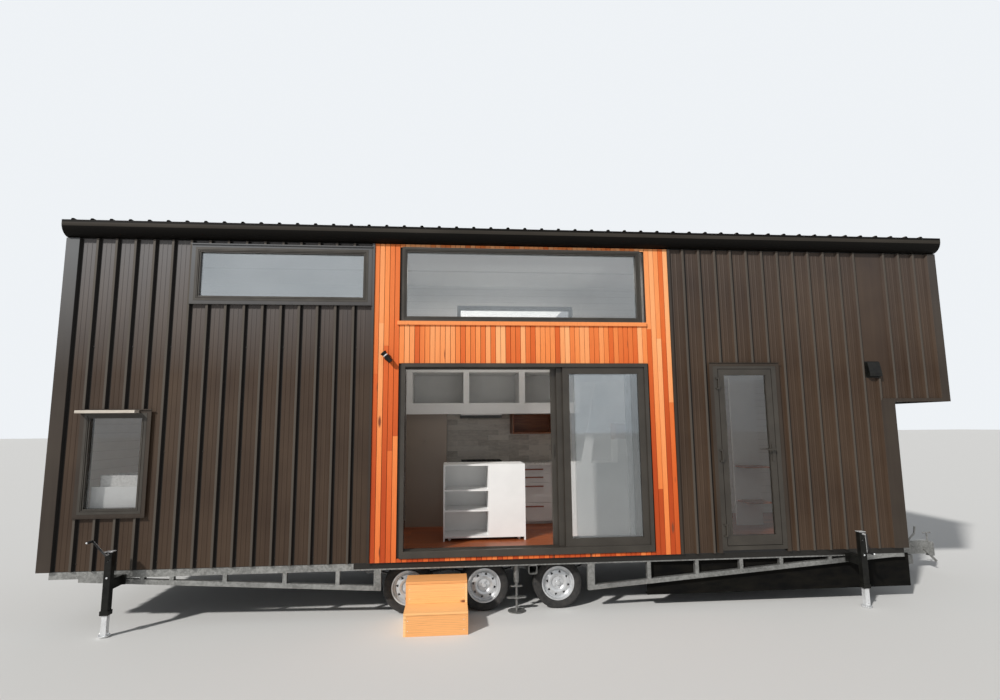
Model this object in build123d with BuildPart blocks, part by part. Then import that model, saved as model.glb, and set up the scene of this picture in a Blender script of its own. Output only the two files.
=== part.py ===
"""A tiny house on a triple-axle trailer: ribbed metal walls, a cedar centre bay, a stacking glass door.

The model is drawn in house millimetres: X along the front from the walls' left corner, Y into the house
from the outer face of the front cladding, Z up from the bottom edge of the cladding. Each finished piece
is moved to the part's frame as it is written: origin on the ground, under the middle of the whole part.
"""
from build123d import *
from math import cos, radians, sin, tan
import os

os.makedirs("parts", exist_ok=True)

# Walls and floor
BODY_LENGTH = 9047.0
OVERHANG_LENGTH = 694.0
OVERHANG_UNDERSIDE = 1640.0
HOUSE_WIDTH = 2400.0
FRONT_WALL_HEIGHT = 3385.0
ROOF_PITCH = 2.5
ROOF_DEPTH = 160.0
WALL_THICKNESS = 100.0
FLOOR_TOP = 50.0
FLOOR_BOTTOM = -5.0
LOFT_THICKNESS = 90.0
GROUND_DROP = 560.0

# Ribbed metal sheet and the folded flashings
SHEET = 3.0
RIB_PITCH = 190.0
RIB_HEIGHT = 29.0
RIB_CROWN = 22.0
RIB_FOOT = 54.0
LEFT_RIB_START = 88.0
RIGHT_RIB_BEYOND_BAY = 184.0
ROOF_RIB_START = 57.0
EAVE_OVERHANG = 100.0
REAR_OVERHANG = 10.0
TRIM = 4.0
TRIM_LEG = 26.0
BARGE_DROP = 250.0
RIDGE_DROP = 210.0
DRIP = 12.0
DRIP_START = 120.0

# Timber bay
BAY_LEFT = 3157.0
BAY_WIDTH = 3303.0
BOARD = 20.0
SILL_BOARD = 44.0
SILL_LUG = 45.0
SILL_PROUD = 20.0

# Windows: places and sizes of the outer frames
HIGH_WINDOW_SETBACK = 69.0
HIGH_WINDOW_SILL = 2725.0
HIGH_WINDOW_SIZE = (1813.0, 580.0)
SMALL_WINDOW_AT = (298.0, 545.0)
SMALL_WINDOW_SIZE = (602.0, 1000.0)
CLERESTORY_MARGINS = (298.0, 327.0)
CLERESTORY_SILL = 2522.0
CLERESTORY_HEIGHT = 827.0
REAR_WINDOW_AT = (4090.0, 2560.0)
REAR_WINDOW_SIZE = (1770.0, 630.0)
WINDOW_BAR = 52.0
WINDOW_DEPTH = 90.0
WINDOW_PROUD = 34.0
SASH_LINE = 26.0
SASH_GROOVE = 4.0
GROOVE_DEPTH = 7.0
BEAD = 14.0
BEAD_STEP = 8.0
GLASS = 8.0
TRIM_WIDTH = 40.0
HOOD_LENGTH = 570.0
HOOD_REACH = 122.0
HOOD_THICKNESS = 28.0
HOOD_SHIFT = 64.0

# Stacking door
SLIDER_MARGINS = (303.0, 290.0)
SLIDER_BOTTOM = 35.0
SLIDER_TOP = 2060.0
SLIDER_JAMB = 40.0
SLIDER_SILL = 70.0
SLIDER_HEAD = 44.0
SLIDER_PROUD = 38.0
PANEL_LAP = 65.0
PANEL_DEPTH = 36.0
PANEL_STILE = 72.0
PANEL_RAIL = 88.0
TRACK_GAP = 6.0
PANEL_STAGGER = 56.0
MIDDLE_STAGGER = 64.0
GUIDE = 6.0
GUIDE_HEIGHT = 9.0
GUIDE_CLEARANCE = 2.0
SEAT = 0.3
END_GAP = 6.0
PULL_LENGTH = 150.0
PULL_WIDTH = 24.0
PULL_DEPTH = 9.0

# Entry door
ENTRY_BEYOND_BAY = 465.0
ENTRY_WIDTH = 740.0
ENTRY_BOTTOM = 26.0
ENTRY_TOP = 2030.0
ENTRY_JAMB = 54.0
ENTRY_HEAD = 30.0
ENTRY_SILL = 44.0
ENTRY_PROUD = 30.0
ENTRY_STOP = 18.0
ENTRY_GAP = 6.0
ENTRY_STILE = 66.0
ENTRY_BOTTOM_RAIL = 104.0
LEAF_DEPTH = 42.0
HINGE_RADIUS = 10.0
HINGE_PIN = 5.0
HINGE_LENGTH = 100.0
HINGE_CAP = 16.0
HINGE_INSET = 160.0
HINGE_STANDOFF = 1.0
LEVER_HEIGHT = 1100.0
LEVER_LENGTH = 112.0
LEVER_REACH = 50.0
LOCK_DROP = 70.0

# Lamp, vent cowl and gutter
LAMP_ACROSS = 153.0
LAMP_HEIGHT = 2120.0
LAMP_RADIUS = 30.0
LAMP_LENGTH = 130.0
LAMP_REACH = 52.0
LAMP_TILT = -40.0
VENT_SETBACK = 262.0
VENT_SIZE = (150.0, 60.0, 165.0)
VENT_SILL = 1912.0
APRON_MARGINS = (8.0, 151.0)
GUTTER_DEPTH = 130.0
GUTTER_HEIGHT = 157.0
GUTTER_CURVE = 122.0
GUTTER_LIP = 10.0

# Trailer chassis
RAIL_WIDTH = 50.0
RAIL_HEIGHT = 70.0
RAIL_INSET = 70.0
CHORD_HEIGHT = 48.0
TRUSS_INSET = 5.0
STRUT = 40.0
POST = 74.0
LEFT_CHORD_HEAD = (345.0, -108.0)
LEFT_CHORD_FOOT = (270.0, -281.0)
RIGHT_CHORD_FOOT = (296.0, -345.0)
RIGHT_CHORD_HEAD = (87.0, -98.0)
LEFT_STRUT_SHARES = (0.299, 0.473, 0.672, 0.851)
LEFT_TIE = 943.0
RIGHT_STRUT_SHARES = (0.190, 0.341, 0.483, 0.613, 0.774)
CROSS_WIDTH = 50.0
CROSS_LIP = 15.0
CROSS_WALL = 4.0
TRAY_LENGTH = 3030.0
TRAY_BEYOND = 83.0
TRAY_BOTTOM = -427.0
TRAY_LIP = 70.0
TRAY_SHEET = 12.0
TUBE_END_BEYOND = 109.5
TUBE_END = 90.0

# Drawbar and coupling
DRAWBAR_INSIDE = 1473.0
DRAWBAR_BEYOND = 1013.0
DRAWBAR_BOTTOM = -460.0
DRAWBAR_HEIGHT = 100.0
DRAWBAR_BEAM = 60.0
DRAWBAR_SPREAD = 790.0
DRAWBAR_NOSE = 60.0
COUPLING_LENGTH = 380.0
COUPLING_WIDTH = 90.0
COUPLING_HEIGHT = 170.0
COUPLING_PLATE = 12.0
SOCKET_OUTER = 50.0
SOCKET = 26.0
SOCKET_DEPTH = 60.0
BRACE_HEAD = ((195.0, 62.0), (215.0, 78.0))
BRACE_FOOT = ((2.0, 18.0), (24.0, 0.0))
BRAKE_LEVER = ((0.0, 4.0), (26.0, 4.0), (118.0, -76.0), (98.0, -90.0))
BRAKE_GRIP_RISE = 128.0
BRAKE_GRIP_LENGTH = 96.0
BRAKE_GRIP_LEAN = 10.0

# Axles, springs and wheels
FIRST_AXLE = 3550.0
AXLE_SPACING = 797.0
AXLE_COUNT = 3
AXLE_RADIUS = 20.0
AXLE_CLEARANCE = 0.05
AXLE_BEAM = 56.0
SPRING_Y = 420.0
SPRING_REACH = 330.0
SPRING_ARCH = 50.0
SPRING_WIDTH = 60.0
LEAF = 10.0
LEAF_REACHES = (330.0, 250.0, 175.0, 105.0)
EYE_RADIUS = 17.0
SPRING_PLATE = 96.0
U_BOLT_SPREAD = 76.0
U_BOLT = 6.0
MAIN_RAIL = 60.0
WHEEL_RADIUS = 262.0
TYRE_WIDTH = 190.0
RIM_RADIUS = 168.0
TYRE_FACE = 130.0
HUB_RADIUS = 52.0
HUB_CAP = 26.0
HUB_BORE_DEPTH = 56.0
SIDEWALL = ((0.0, 30.0), (40.0, 3.0))
SHOULDER = ((20.0, 9.0), (6.0, 18.0), (0.0, 34.0))
TREAD_GROOVE = ((0.0, 60.0), (7.0, 61.0), (7.0, 67.0), (0.0, 68.0))
HUB_FACE = ((-52.0, 40.0), (8.0, 40.0), (20.0, 30.0))
RIM_FACE = ((76.0, 25.0), (40.0, 31.0), (22.0, 42.0), (16.0, 42.0), (10.0, 16.0), (4.0, 8.0))
RIM_BACK = ((8.0, 56.0), (22.0, 50.0), (40.0, 39.0), (76.0, 33.0))
HUB_BACK = ((22.0, 38.0), (10.0, 52.0), (0.0, 60.0))
RIM_LIP = 8.0
RIM_SHEET = 5.0
HUB_CAP_DEPTHS = (16.0, 42.0)
HUB_CAP_BEVEL = 5.0
WHEEL_HOLES = 8
WHEEL_HOLE_CIRCLE = 116.0
WHEEL_HOLE_RADIUS = 20.0
WHEEL_HOLE_ROUNDING = 5.0
WHEEL_HOLE_TURN = 11.0
WHEEL_NUTS = 5
WHEEL_NUT_CIRCLE = 44.0
WHEEL_NUT_RADIUS = 10.0
WHEEL_NUT_DEPTHS = (28.0, 42.0)

# Jacks
JACK_TUBE = 66.0
JACK_WALL = 6.0
JACK_OUT = 190.0
JACK_LEG = 50.0
LEG_WALL = 5.0
LEG_CLEARANCE = 0.3
JACK_TUBE_BOTTOM = 200.0
JACK_TUBE_TOP = 778.0
JACK_PIN_DROP = 80.0
JACK_LEG_LENGTH = 560.0
JACK_COLLAR = 6.0
COLLAR_HEIGHT = 40.0
LEFT_JACK = 733.0
RIGHT_JACK_SETBACK = 647.0
JACK_FOOT = 104.0
FOOT_SHEET = 6.0
BRACKET = 60.0
BRACKET_PLATE = 10.0
CRANK_DROP = 18.0
CRANK_ARM = 180.0
CRANK_LEANS = (133.0, 272.0)
CRANK_ROD = 9.0
GRIP_RADIUS = 12.0
GRIP_LENGTH = 78.0
CRANK_REACH = 5 * CRANK_ROD

# Prop stands and the loose step box
PROP_SETBACK = 55.5
PROP_Y = 110.0
PROP_TUBE = 30.0
PROP_SLEEVE = 19.0
PROP_SCREW = 13.0
PROP_NUT_HEIGHTS = (257.0, 143.0)
PROP_NUT_RADII = (64.0, 106.0)
PROP_FOOT = 94.0
STEP_ACROSS = 90.0
STEP_WIDTH = 606.0
STEP_FRONT = -523.0
STEP_TREAD = 275.0
STEP_RISE = 210.0
STEP_BOARD = 22.0
STEP_NOSE = 6.0

# Fitted furniture seen through the doors
KITCHEN_LEFT = 3390.0
KITCHEN_FRONT = 1740.0
TALL_WIDTH = 552.0
UPPER_BOTTOM = 1547.0
UPPER_FRONT = 1700.0
UPPER_TOP = 2200.0
UPPER_RAIL = 149.0
UPPER_POST = 80.0
UPPER_WIDTH = 2410.0
BENCH_HEIGHT = 865.0
BENCH_THICKNESS = 30.0
BENCH_LIP = 25.0
TOE_KICK = 40.0
DRAWER_ACROSS = 838.0
DRAWER_WIDTH = 600.0
DRAWER_TOPS = (832.0, 725.0, 604.0, 336.0)
DRAWER_HEIGHTS = (104.0, 115.0, 262.0, 244.0)
DRAWER_FRONT = 18.0
HANDLE = 360.0
HANDLE_DROP = 42.0
HOB = (200.0, 574.0, 30.0)
HOOD_BOX = (192.0, 566.0, 55.0)
SHELF_BOX = (925.0, 600.0, 280.0, 200.0)
BOARD_THICK = 18.0
SPLASH = 10.0
TROLLEY_LEFT = 3907.0
TROLLEY_WIDTH = 971.0
TROLLEY_FRONT = 720.0
TROLLEY_DEPTH = 450.0
TROLLEY_TOP = 931.0
TROLLEY_SHELVES = (104.0, 403.0, 637.0)
TROLLEY_DIVIDER = 548.0
CASTOR = 24.0
STAIR_LEFT = 5463.0
STAIR_WIDTH = 583.0
STAIR_FRONT = 800.0
STAIR_DEPTH = 480.0
STAIR_UNIT_TOP = 923.0
STAIR_STRING = ((120.0, 0.0), (332.0, 992.0), (446.0, 992.0), (517.0, 686.0), (399.0, 686.0),
                (357.0, 597.0), (240.0, 0.0))
STAIR_PANEL = ((0.0, 0.0), (110.0, 0.0), (110.0, 1030.0), (70.0, 1155.0), (0.0, 1174.0))
STAIR_TREAD = ((0.0, 1174.0), (75.0, 1154.0), (170.0, 1172.0), (175.0, 1350.0), (0.0, 1350.0))
VANITY_LEFT = 340.0
VANITY_WIDTH = 520.0
VANITY_TOP = 800.0
VANITY_DEPTH = 420.0
BASIN_HEIGHT = 110.0
ENTRY_SHELF_SETBACK = 1247.0
ENTRY_SHELF_WIDTH = 320.0
ENTRY_SHELF_Y = 1000.0
ENTRY_SHELF_DEPTH = 300.0
ENTRY_SHELF_HEIGHTS = (360.0, 810.0)
ENTRY_SHELF_TOP = 2000.0

# Sizes that follow from the ones above
FULL_LENGTH = BODY_LENGTH + OVERHANG_LENGTH
SLOPE = tan(radians(ROOF_PITCH))
COSINE = cos(radians(ROOF_PITCH))
SINE = sin(radians(ROOF_PITCH))
GROUND = -GROUND_DROP
MIDDLE_Y = HOUSE_WIDTH / 2
CROWN_OUT = RIB_HEIGHT + SHEET
BAY_RIGHT = BAY_LEFT + BAY_WIDTH
SLIDER_LEFT = BAY_LEFT + SLIDER_MARGINS[0]
SLIDER_RIGHT = BAY_RIGHT - SLIDER_MARGINS[1]
PANEL_WIDTH = (SLIDER_RIGHT - SLIDER_LEFT - 2 * SLIDER_JAMB + 2 * PANEL_LAP) / 3
RIGHT_RIB_START = BAY_RIGHT + RIGHT_RIB_BEYOND_BAY
ENTRY_LEFT = BAY_RIGHT + ENTRY_BEYOND_BAY
ENTRY_RIGHT = ENTRY_LEFT + ENTRY_WIDTH
AXLES = tuple(FIRST_AXLE + AXLE_SPACING * i for i in range(AXLE_COUNT))
MIDDLE_CROSS = tuple(x + AXLE_SPACING / 2 for x in AXLES[:-1])
LEFT_CHORD = (LEFT_CHORD_HEAD, (AXLES[0] - LEFT_CHORD_FOOT[0], LEFT_CHORD_FOOT[1]))
RIGHT_CHORD = ((AXLES[-1] + RIGHT_CHORD_FOOT[0], RIGHT_CHORD_FOOT[1]),
               (BODY_LENGTH - RIGHT_CHORD_HEAD[0], RIGHT_CHORD_HEAD[1]))
PROP_X = MIDDLE_CROSS[-1] - PROP_SETBACK
TUBE_END_X = MIDDLE_CROSS[-1] + TUBE_END_BEYOND
DRAWBAR_START = BODY_LENGTH - DRAWBAR_INSIDE
RIGHT_JACK = BODY_LENGTH - RIGHT_JACK_SETBACK
DRAWBAR_REACH = BODY_LENGTH + DRAWBAR_BEYOND
COUPLING_NOSE = DRAWBAR_REACH + COUPLING_LENGTH
REAR_EDGE = HOUSE_WIDTH + JACK_OUT + JACK_TUBE / 2 + SEAT + CRANK_REACH + GRIP_LENGTH + 3 * CRANK_ROD

# Origin of the part: middle of its outer box, on the ground
CENTRE_X = (COUPLING_NOSE - CROWN_OUT) / 2
CENTRE_Y = (STEP_FRONT + REAR_EDGE) / 2
TO_FRAME = Location((-CENTRE_X, -CENTRE_Y, GROUND_DROP))


def frame_box(corner, size):
    """Left, right, bottom and top of a window from its lower left corner and its size."""
    return corner[0], corner[0] + size[0], corner[1], corner[1] + size[1]


def spread(chord, shares):
    """X of points at shares of a chord's length."""
    return tuple(chord[0][0] + share * (chord[1][0] - chord[0][0]) for share in shares)


LEFT_STRUTS = spread(LEFT_CHORD, LEFT_STRUT_SHARES)
RIGHT_STRUTS = spread(RIGHT_CHORD, RIGHT_STRUT_SHARES)
HIGH_WINDOW = frame_box((BAY_LEFT - HIGH_WINDOW_SETBACK - HIGH_WINDOW_SIZE[0], HIGH_WINDOW_SILL),
                        HIGH_WINDOW_SIZE)
SMALL_WINDOW = frame_box(SMALL_WINDOW_AT, SMALL_WINDOW_SIZE)
CLERESTORY = (BAY_LEFT + CLERESTORY_MARGINS[0], BAY_RIGHT - CLERESTORY_MARGINS[1], CLERESTORY_SILL,
              CLERESTORY_SILL + CLERESTORY_HEIGHT)
REAR_WINDOW = frame_box(REAR_WINDOW_AT, REAR_WINDOW_SIZE)


def write(builder, name):
    """Move a finished piece from house coordinates to the part's frame and write its STEP file."""
    piece = builder.part.moved(TO_FRAME)
    piece.label = name
    export_step(piece, f"parts/{name}.step")


def block(x, y, z, mode=Mode.ADD):
    """Add a block between two X, two Y and two Z values to the part being built."""
    with Locations(((x[0] + x[1]) / 2, (y[0] + y[1]) / 2, (z[0] + z[1]) / 2)):
        Box(abs(x[1] - x[0]), abs(y[1] - y[0]), abs(z[1] - z[0]), mode=mode)


def outline(plane, points):
    """A straight-sided closed sketch on a plane."""
    with BuildSketch(plane) as shape:
        with BuildLine():
            Polyline(*points, close=True)
        make_face()
    return shape.sketch


def disc(plane, centre, radius):
    """A round sketch on a plane."""
    with BuildSketch(plane) as shape:
        with Locations(centre):
            Circle(radius)
    return shape.sketch


def roof_line(y):
    """Height of the roof's underside at a depth into the house."""
    return FRONT_WALL_HEIGHT + y * SLOPE


def crown_line(y):
    """Height of the roof ribs' crowns at a depth into the house."""
    return roof_line(y) + ROOF_DEPTH + CROWN_OUT / COSINE


def even_start(length):
    """First rib of a wall whose ribs end the same distance from both corners."""
    spare = length % RIB_PITCH
    return (spare + RIB_PITCH if spare < RIB_FOOT + 2 * TRIM else spare) / 2


def rib_centres(start, end, first):
    """Centres of the whole ribs between the two edges of a sheet."""
    count = int((end - first - RIB_FOOT / 2) // RIB_PITCH) + 1
    centres = [first + RIB_PITCH * i for i in range(count)]
    return [x for x in centres if x - RIB_FOOT / 2 > start]


def rib_section(plane, start, end, first):
    """Section of a ribbed sheet across its ribs, of one thickness, drawn on a plane."""
    lean = SHEET * tan(radians(30.0))
    top, under = [(start, 0.0)], [(start, -SHEET)]
    for x in rib_centres(start, end, first):
        foot, crown = RIB_FOOT / 2, RIB_CROWN / 2
        top += [(x - foot, 0.0), (x - crown, RIB_HEIGHT), (x + crown, RIB_HEIGHT), (x + foot, 0.0)]
        under += [(x - foot + lean, -SHEET), (x - crown + lean, RIB_HEIGHT - SHEET),
                  (x + crown - lean, RIB_HEIGHT - SHEET), (x + foot - lean, -SHEET)]
    return outline(plane, top + [(end, 0.0), (end, -SHEET)] + under[::-1])


# Trailer chassis: two tapered trusses under the long walls
RAIL_TOP = FLOOR_BOTTOM
RAIL_UNDER = RAIL_TOP - RAIL_HEIGHT
RAIL_ENDS = (RAIL_INSET, BODY_LENGTH - TRIM)


def truss(face_y):
    """One side of the chassis: top rail, a bottom chord that drops towards the wheels, and struts."""
    with BuildPart() as side:
        inner = (face_y, face_y + RAIL_WIDTH)
        block(RAIL_ENDS, inner, (RAIL_UNDER, RAIL_TOP))
        chords = ((LEFT_CHORD, (LEFT_TIE,) + LEFT_STRUTS, LEFT_CHORD[1][0] - POST / 2),
                  (RIGHT_CHORD, RIGHT_STRUTS, RIGHT_CHORD[0][0] + POST / 2))
        for ((x0, z0), (x1, z1)), struts, post in chords:
            extrude(outline(Plane.XZ.offset(-face_y), [(x0, z0), (x1, z1), (x1, z1 + CHORD_HEIGHT),
                                                       (x0, z0 + CHORD_HEIGHT)]), amount=-RAIL_WIDTH)
            for x, width in [(x, STRUT) for x in struts] + [(post, POST)]:
                foot = z0 + (x - x0) / (x1 - x0) * (z1 - z0) + CHORD_HEIGHT / 2
                block((x - width / 2, x + width / 2), inner, (foot, RAIL_UNDER + TRIM))
        block((RIGHT_CHORD[1][0] - STRUT, RAIL_ENDS[1]), inner,
              (RIGHT_CHORD[1][1] - TRIM, RAIL_UNDER + TRIM))
    return side


write(truss(TRUSS_INSET), "front_truss")
write(truss(HOUSE_WIDTH - TRUSS_INSET - RAIL_WIDTH), "rear_truss")

# Cross members: lipped channels between the trusses, and one open tube end beside the third wheel
INNER_FRONT = TRUSS_INSET + RAIL_WIDTH
INNER_REAR = HOUSE_WIDTH - INNER_FRONT
with BuildPart() as cross_members:
    posts = (LEFT_CHORD[0][0] - POST, LEFT_CHORD[1][0] - POST / 2, RIGHT_CHORD[0][0] + POST / 2,
             RAIL_ENDS[1] - CROSS_WIDTH)
    for x in sorted(LEFT_STRUTS + RIGHT_STRUTS + MIDDLE_CROSS + posts):
        low, high, back = RAIL_UNDER, RAIL_TOP, x + CROSS_WIDTH / 2
        front = x - CROSS_WIDTH / 2
        extrude(outline(Plane.XZ.offset(-INNER_FRONT), [
            (back, low + CROSS_LIP), (back, low), (front, low), (front, high), (back, high),
            (back, high - CROSS_LIP), (back - CROSS_WALL, high - CROSS_LIP),
            (back - CROSS_WALL, high - CROSS_WALL),
            (front + CROSS_WALL, high - CROSS_WALL), (front + CROSS_WALL, low + CROSS_WALL),
            (back - CROSS_WALL, low + CROSS_WALL), (back - CROSS_WALL, low + CROSS_LIP)]),
            amount=-(INNER_REAR - INNER_FRONT))
    with BuildSketch(Plane.XZ.offset(-TRUSS_INSET)):
        with Locations((TUBE_END_X, RAIL_UNDER - TUBE_END / 2)):
            RectangleRounded(TUBE_END, TUBE_END, CROSS_LIP)
            RectangleRounded(TUBE_END - 3 * CROSS_WALL, TUBE_END - 3 * CROSS_WALL, CROSS_LIP / 2,
                             mode=Mode.SUBTRACT)
    extrude(amount=-(SPRING_Y - SPRING_WIDTH))
    block((MIDDLE_CROSS[-1], TUBE_END_X + TUBE_END / 2), (INNER_FRONT + RAIL_WIDTH, SPRING_Y - SPRING_WIDTH),
          (RAIL_UNDER - CROSS_WALL, RAIL_UNDER))
write(cross_members, "cross_members")

# Drawbar: two beams that run out low under the floor, meet at the coupling and hang on posts
DRAWBAR_TOP = DRAWBAR_BOTTOM + DRAWBAR_HEIGHT


def drawbar_y(x):
    """Distance of a drawbar beam's middle line from the middle of the house."""
    along = (x - DRAWBAR_START) / (DRAWBAR_REACH - DRAWBAR_START)
    return DRAWBAR_SPREAD + along * (DRAWBAR_NOSE - DRAWBAR_SPREAD)


with BuildPart() as drawbar:
    half = DRAWBAR_BEAM / 2
    for side in (-1, 1):
        extrude(outline(Plane.XY.offset(DRAWBAR_BOTTOM), [
            (DRAWBAR_START, MIDDLE_Y + side * (drawbar_y(DRAWBAR_START) - half)),
            (DRAWBAR_REACH, MIDDLE_Y + side * (drawbar_y(DRAWBAR_REACH) - half)),
            (DRAWBAR_REACH, MIDDLE_Y + side * (drawbar_y(DRAWBAR_REACH) + half)),
            (DRAWBAR_START, MIDDLE_Y + side * (drawbar_y(DRAWBAR_START) + half))]), amount=DRAWBAR_HEIGHT)
        for x in (RIGHT_STRUTS[-2], RAIL_ENDS[1] - CROSS_WIDTH):
            y = MIDDLE_Y + side * drawbar_y(x)
            block((x - CROSS_WIDTH / 2, x + CROSS_WIDTH / 2), (y - half, y + half),
                  (DRAWBAR_TOP - TRIM, RAIL_UNDER))
            extrude(outline(Plane.XZ.offset(-(y - CROSS_WALL)), [
                (x + CROSS_WIDTH / 2, RAIL_UNDER), (x + CROSS_WIDTH / 2, DRAWBAR_TOP),
                (x + CROSS_WIDTH / 2 + DRAWBAR_HEIGHT, DRAWBAR_TOP)]), amount=-2 * CROSS_WALL)
    plate_back = DRAWBAR_REACH - COUPLING_LENGTH
    plate_half = drawbar_y(plate_back) + half
    extrude(outline(Plane.XY.offset(DRAWBAR_TOP), [
        (plate_back, MIDDLE_Y - plate_half), (DRAWBAR_REACH, MIDDLE_Y - DRAWBAR_NOSE - half),
        (DRAWBAR_REACH, MIDDLE_Y + DRAWBAR_NOSE + half), (plate_back, MIDDLE_Y + plate_half)]),
        amount=COUPLING_PLATE)
    block((DRAWBAR_REACH - COUPLING_PLATE, DRAWBAR_REACH),
          (MIDDLE_Y - DRAWBAR_NOSE, MIDDLE_Y + DRAWBAR_NOSE),
          (DRAWBAR_BOTTOM, DRAWBAR_TOP))
write(drawbar, "drawbar")

# Coupling: body with a pressed nose and ball socket, locking screw with its T handle, brace and brake lever
HEAD_BASE = DRAWBAR_TOP + COUPLING_PLATE
HEAD_TOP = HEAD_BASE + COUPLING_HEIGHT
SOCKET_X = COUPLING_NOSE - SOCKET_OUTER
HEAD_BACK = DRAWBAR_REACH - COUPLING_LENGTH / 2
NOSE_FOOT = HEAD_BASE - SOCKET_DEPTH / 2
with BuildPart() as coupling_head:
    extrude(outline(Plane.XZ.offset(-(MIDDLE_Y - COUPLING_WIDTH / 2)), [
        (HEAD_BACK, HEAD_BASE), (SOCKET_X, HEAD_BASE), (SOCKET_X, HEAD_TOP - SOCKET_OUTER / 2),
        (SOCKET_X - SOCKET_OUTER, HEAD_TOP), (HEAD_BACK + SOCKET_OUTER, HEAD_TOP),
        (HEAD_BACK, HEAD_TOP - SOCKET_OUTER)]), amount=-COUPLING_WIDTH)
    extrude(disc(Plane.XY.offset(NOSE_FOOT), (SOCKET_X, MIDDLE_Y), SOCKET_OUTER),
            amount=HEAD_TOP - SOCKET_OUTER / 2 - NOSE_FOOT)
    fillet(coupling_head.faces().sort_by(Axis.X)[-1].edges().sort_by(Axis.Z)[-1], SOCKET_OUTER / 4)
    extrude(disc(Plane.XY.offset(NOSE_FOOT), (SOCKET_X, MIDDLE_Y), SOCKET), amount=SOCKET_DEPTH,
            mode=Mode.SUBTRACT)
    for x in (HEAD_BACK + SOCKET_OUTER, DRAWBAR_REACH + SOCKET_OUTER):
        extrude(disc(Plane.XZ.offset(-(MIDDLE_Y - COUPLING_WIDTH / 2 - U_BOLT)),
                     (x, HEAD_BASE + COUPLING_WIDTH), CRANK_ROD),
                amount=-(COUPLING_WIDTH + 2 * U_BOLT))
    screw_x = SOCKET_X - SOCKET_OUTER / 2
    extrude(disc(Plane.XY.offset(HEAD_TOP - SOCKET_OUTER), (screw_x, MIDDLE_Y), CRANK_ROD),
            amount=SOCKET_OUTER + COUPLING_WIDTH)
    handle_z = HEAD_TOP + COUPLING_WIDTH
    with Locations(Location((screw_x, MIDDLE_Y, handle_z), (0, 90, 0))):
        Cylinder(U_BOLT, 2 * SOCKET_OUTER)
    for end in (-1, 1):
        with Locations((screw_x + end * SOCKET_OUTER, MIDDLE_Y, handle_z)):
            Sphere(GRIP_RADIUS)
    brace_y = MIDDLE_Y - COUPLING_WIDTH / 2 - COUPLING_PLATE
    extrude(outline(Plane.XZ.offset(-brace_y),
                    [(DRAWBAR_REACH + along, HEAD_BASE + up) for along, up in BRACE_HEAD]
                    + [(COUPLING_NOSE - back, DRAWBAR_BOTTOM + up) for back, up in BRACE_FOOT]),
            amount=-COUPLING_PLATE)
    lever_x = DRAWBAR_REACH + COUPLING_PLATE
    extrude(outline(Plane.XZ.offset(-(MIDDLE_Y - COUPLING_PLATE)),
                    [(lever_x + along, HEAD_TOP - down) for along, down in BRAKE_LEVER]),
            amount=-COUPLING_PLATE)
    with Locations(Location((lever_x + BRAKE_LEVER[2][0], MIDDLE_Y - COUPLING_PLATE / 2,
                             HEAD_TOP + BRAKE_GRIP_RISE), (0, BRAKE_GRIP_LEAN, 0))):
        Cylinder(GRIP_RADIUS, BRAKE_GRIP_LENGTH)
write(coupling_head, "coupling_head")

# Axles: square beams with a stub for each wheel
AXLE_Z = GROUND + WHEEL_RADIUS
HUB_INNER = TYRE_FACE + TYRE_WIDTH + COUPLING_PLATE
STUB_END = TYRE_FACE + HUB_BORE_DEPTH + TRIM
with BuildPart() as axle_beams:
    for x in AXLES:
        with BuildSketch(Plane.XZ.offset(-HUB_INNER)):
            with Locations((x, AXLE_Z)):
                RectangleRounded(AXLE_BEAM, AXLE_BEAM, U_BOLT)
        extrude(amount=-(HOUSE_WIDTH - 2 * HUB_INNER))
        for start, direction in ((HUB_INNER, -1), (HOUSE_WIDTH - HUB_INNER, 1)):
            extrude(disc(Plane.XZ.offset(-start), (x, AXLE_Z), AXLE_RADIUS),
                    amount=-direction * (HUB_INNER - STUB_END))
write(axle_beams, "axle_beams")

# Leaf springs: stepped packs with eyes, hangers under two rails, plates and U-bolts round the axles
PACK_FOOT = AXLE_Z + AXLE_BEAM / 2
PACK_TOP = PACK_FOOT + LEAF * len(LEAF_REACHES)
MAIN_RAIL_BOTTOM = RAIL_UNDER - MAIN_RAIL


def leaf_z(reach, depth):
    """Height of a leaf's curve at a distance from the axle, a depth under the top of the pack."""
    return PACK_TOP + SPRING_ARCH * (reach / SPRING_REACH) ** 2 - depth


def leaf_arc(x, start, end, depth):
    """Part of a leaf's curve between two distances from the axle at x."""
    middle = (start + end) / 2
    ThreePointArc((x + start, leaf_z(start, depth)), (x + middle, leaf_z(middle, depth)),
                  (x + end, leaf_z(end, depth)))


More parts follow.
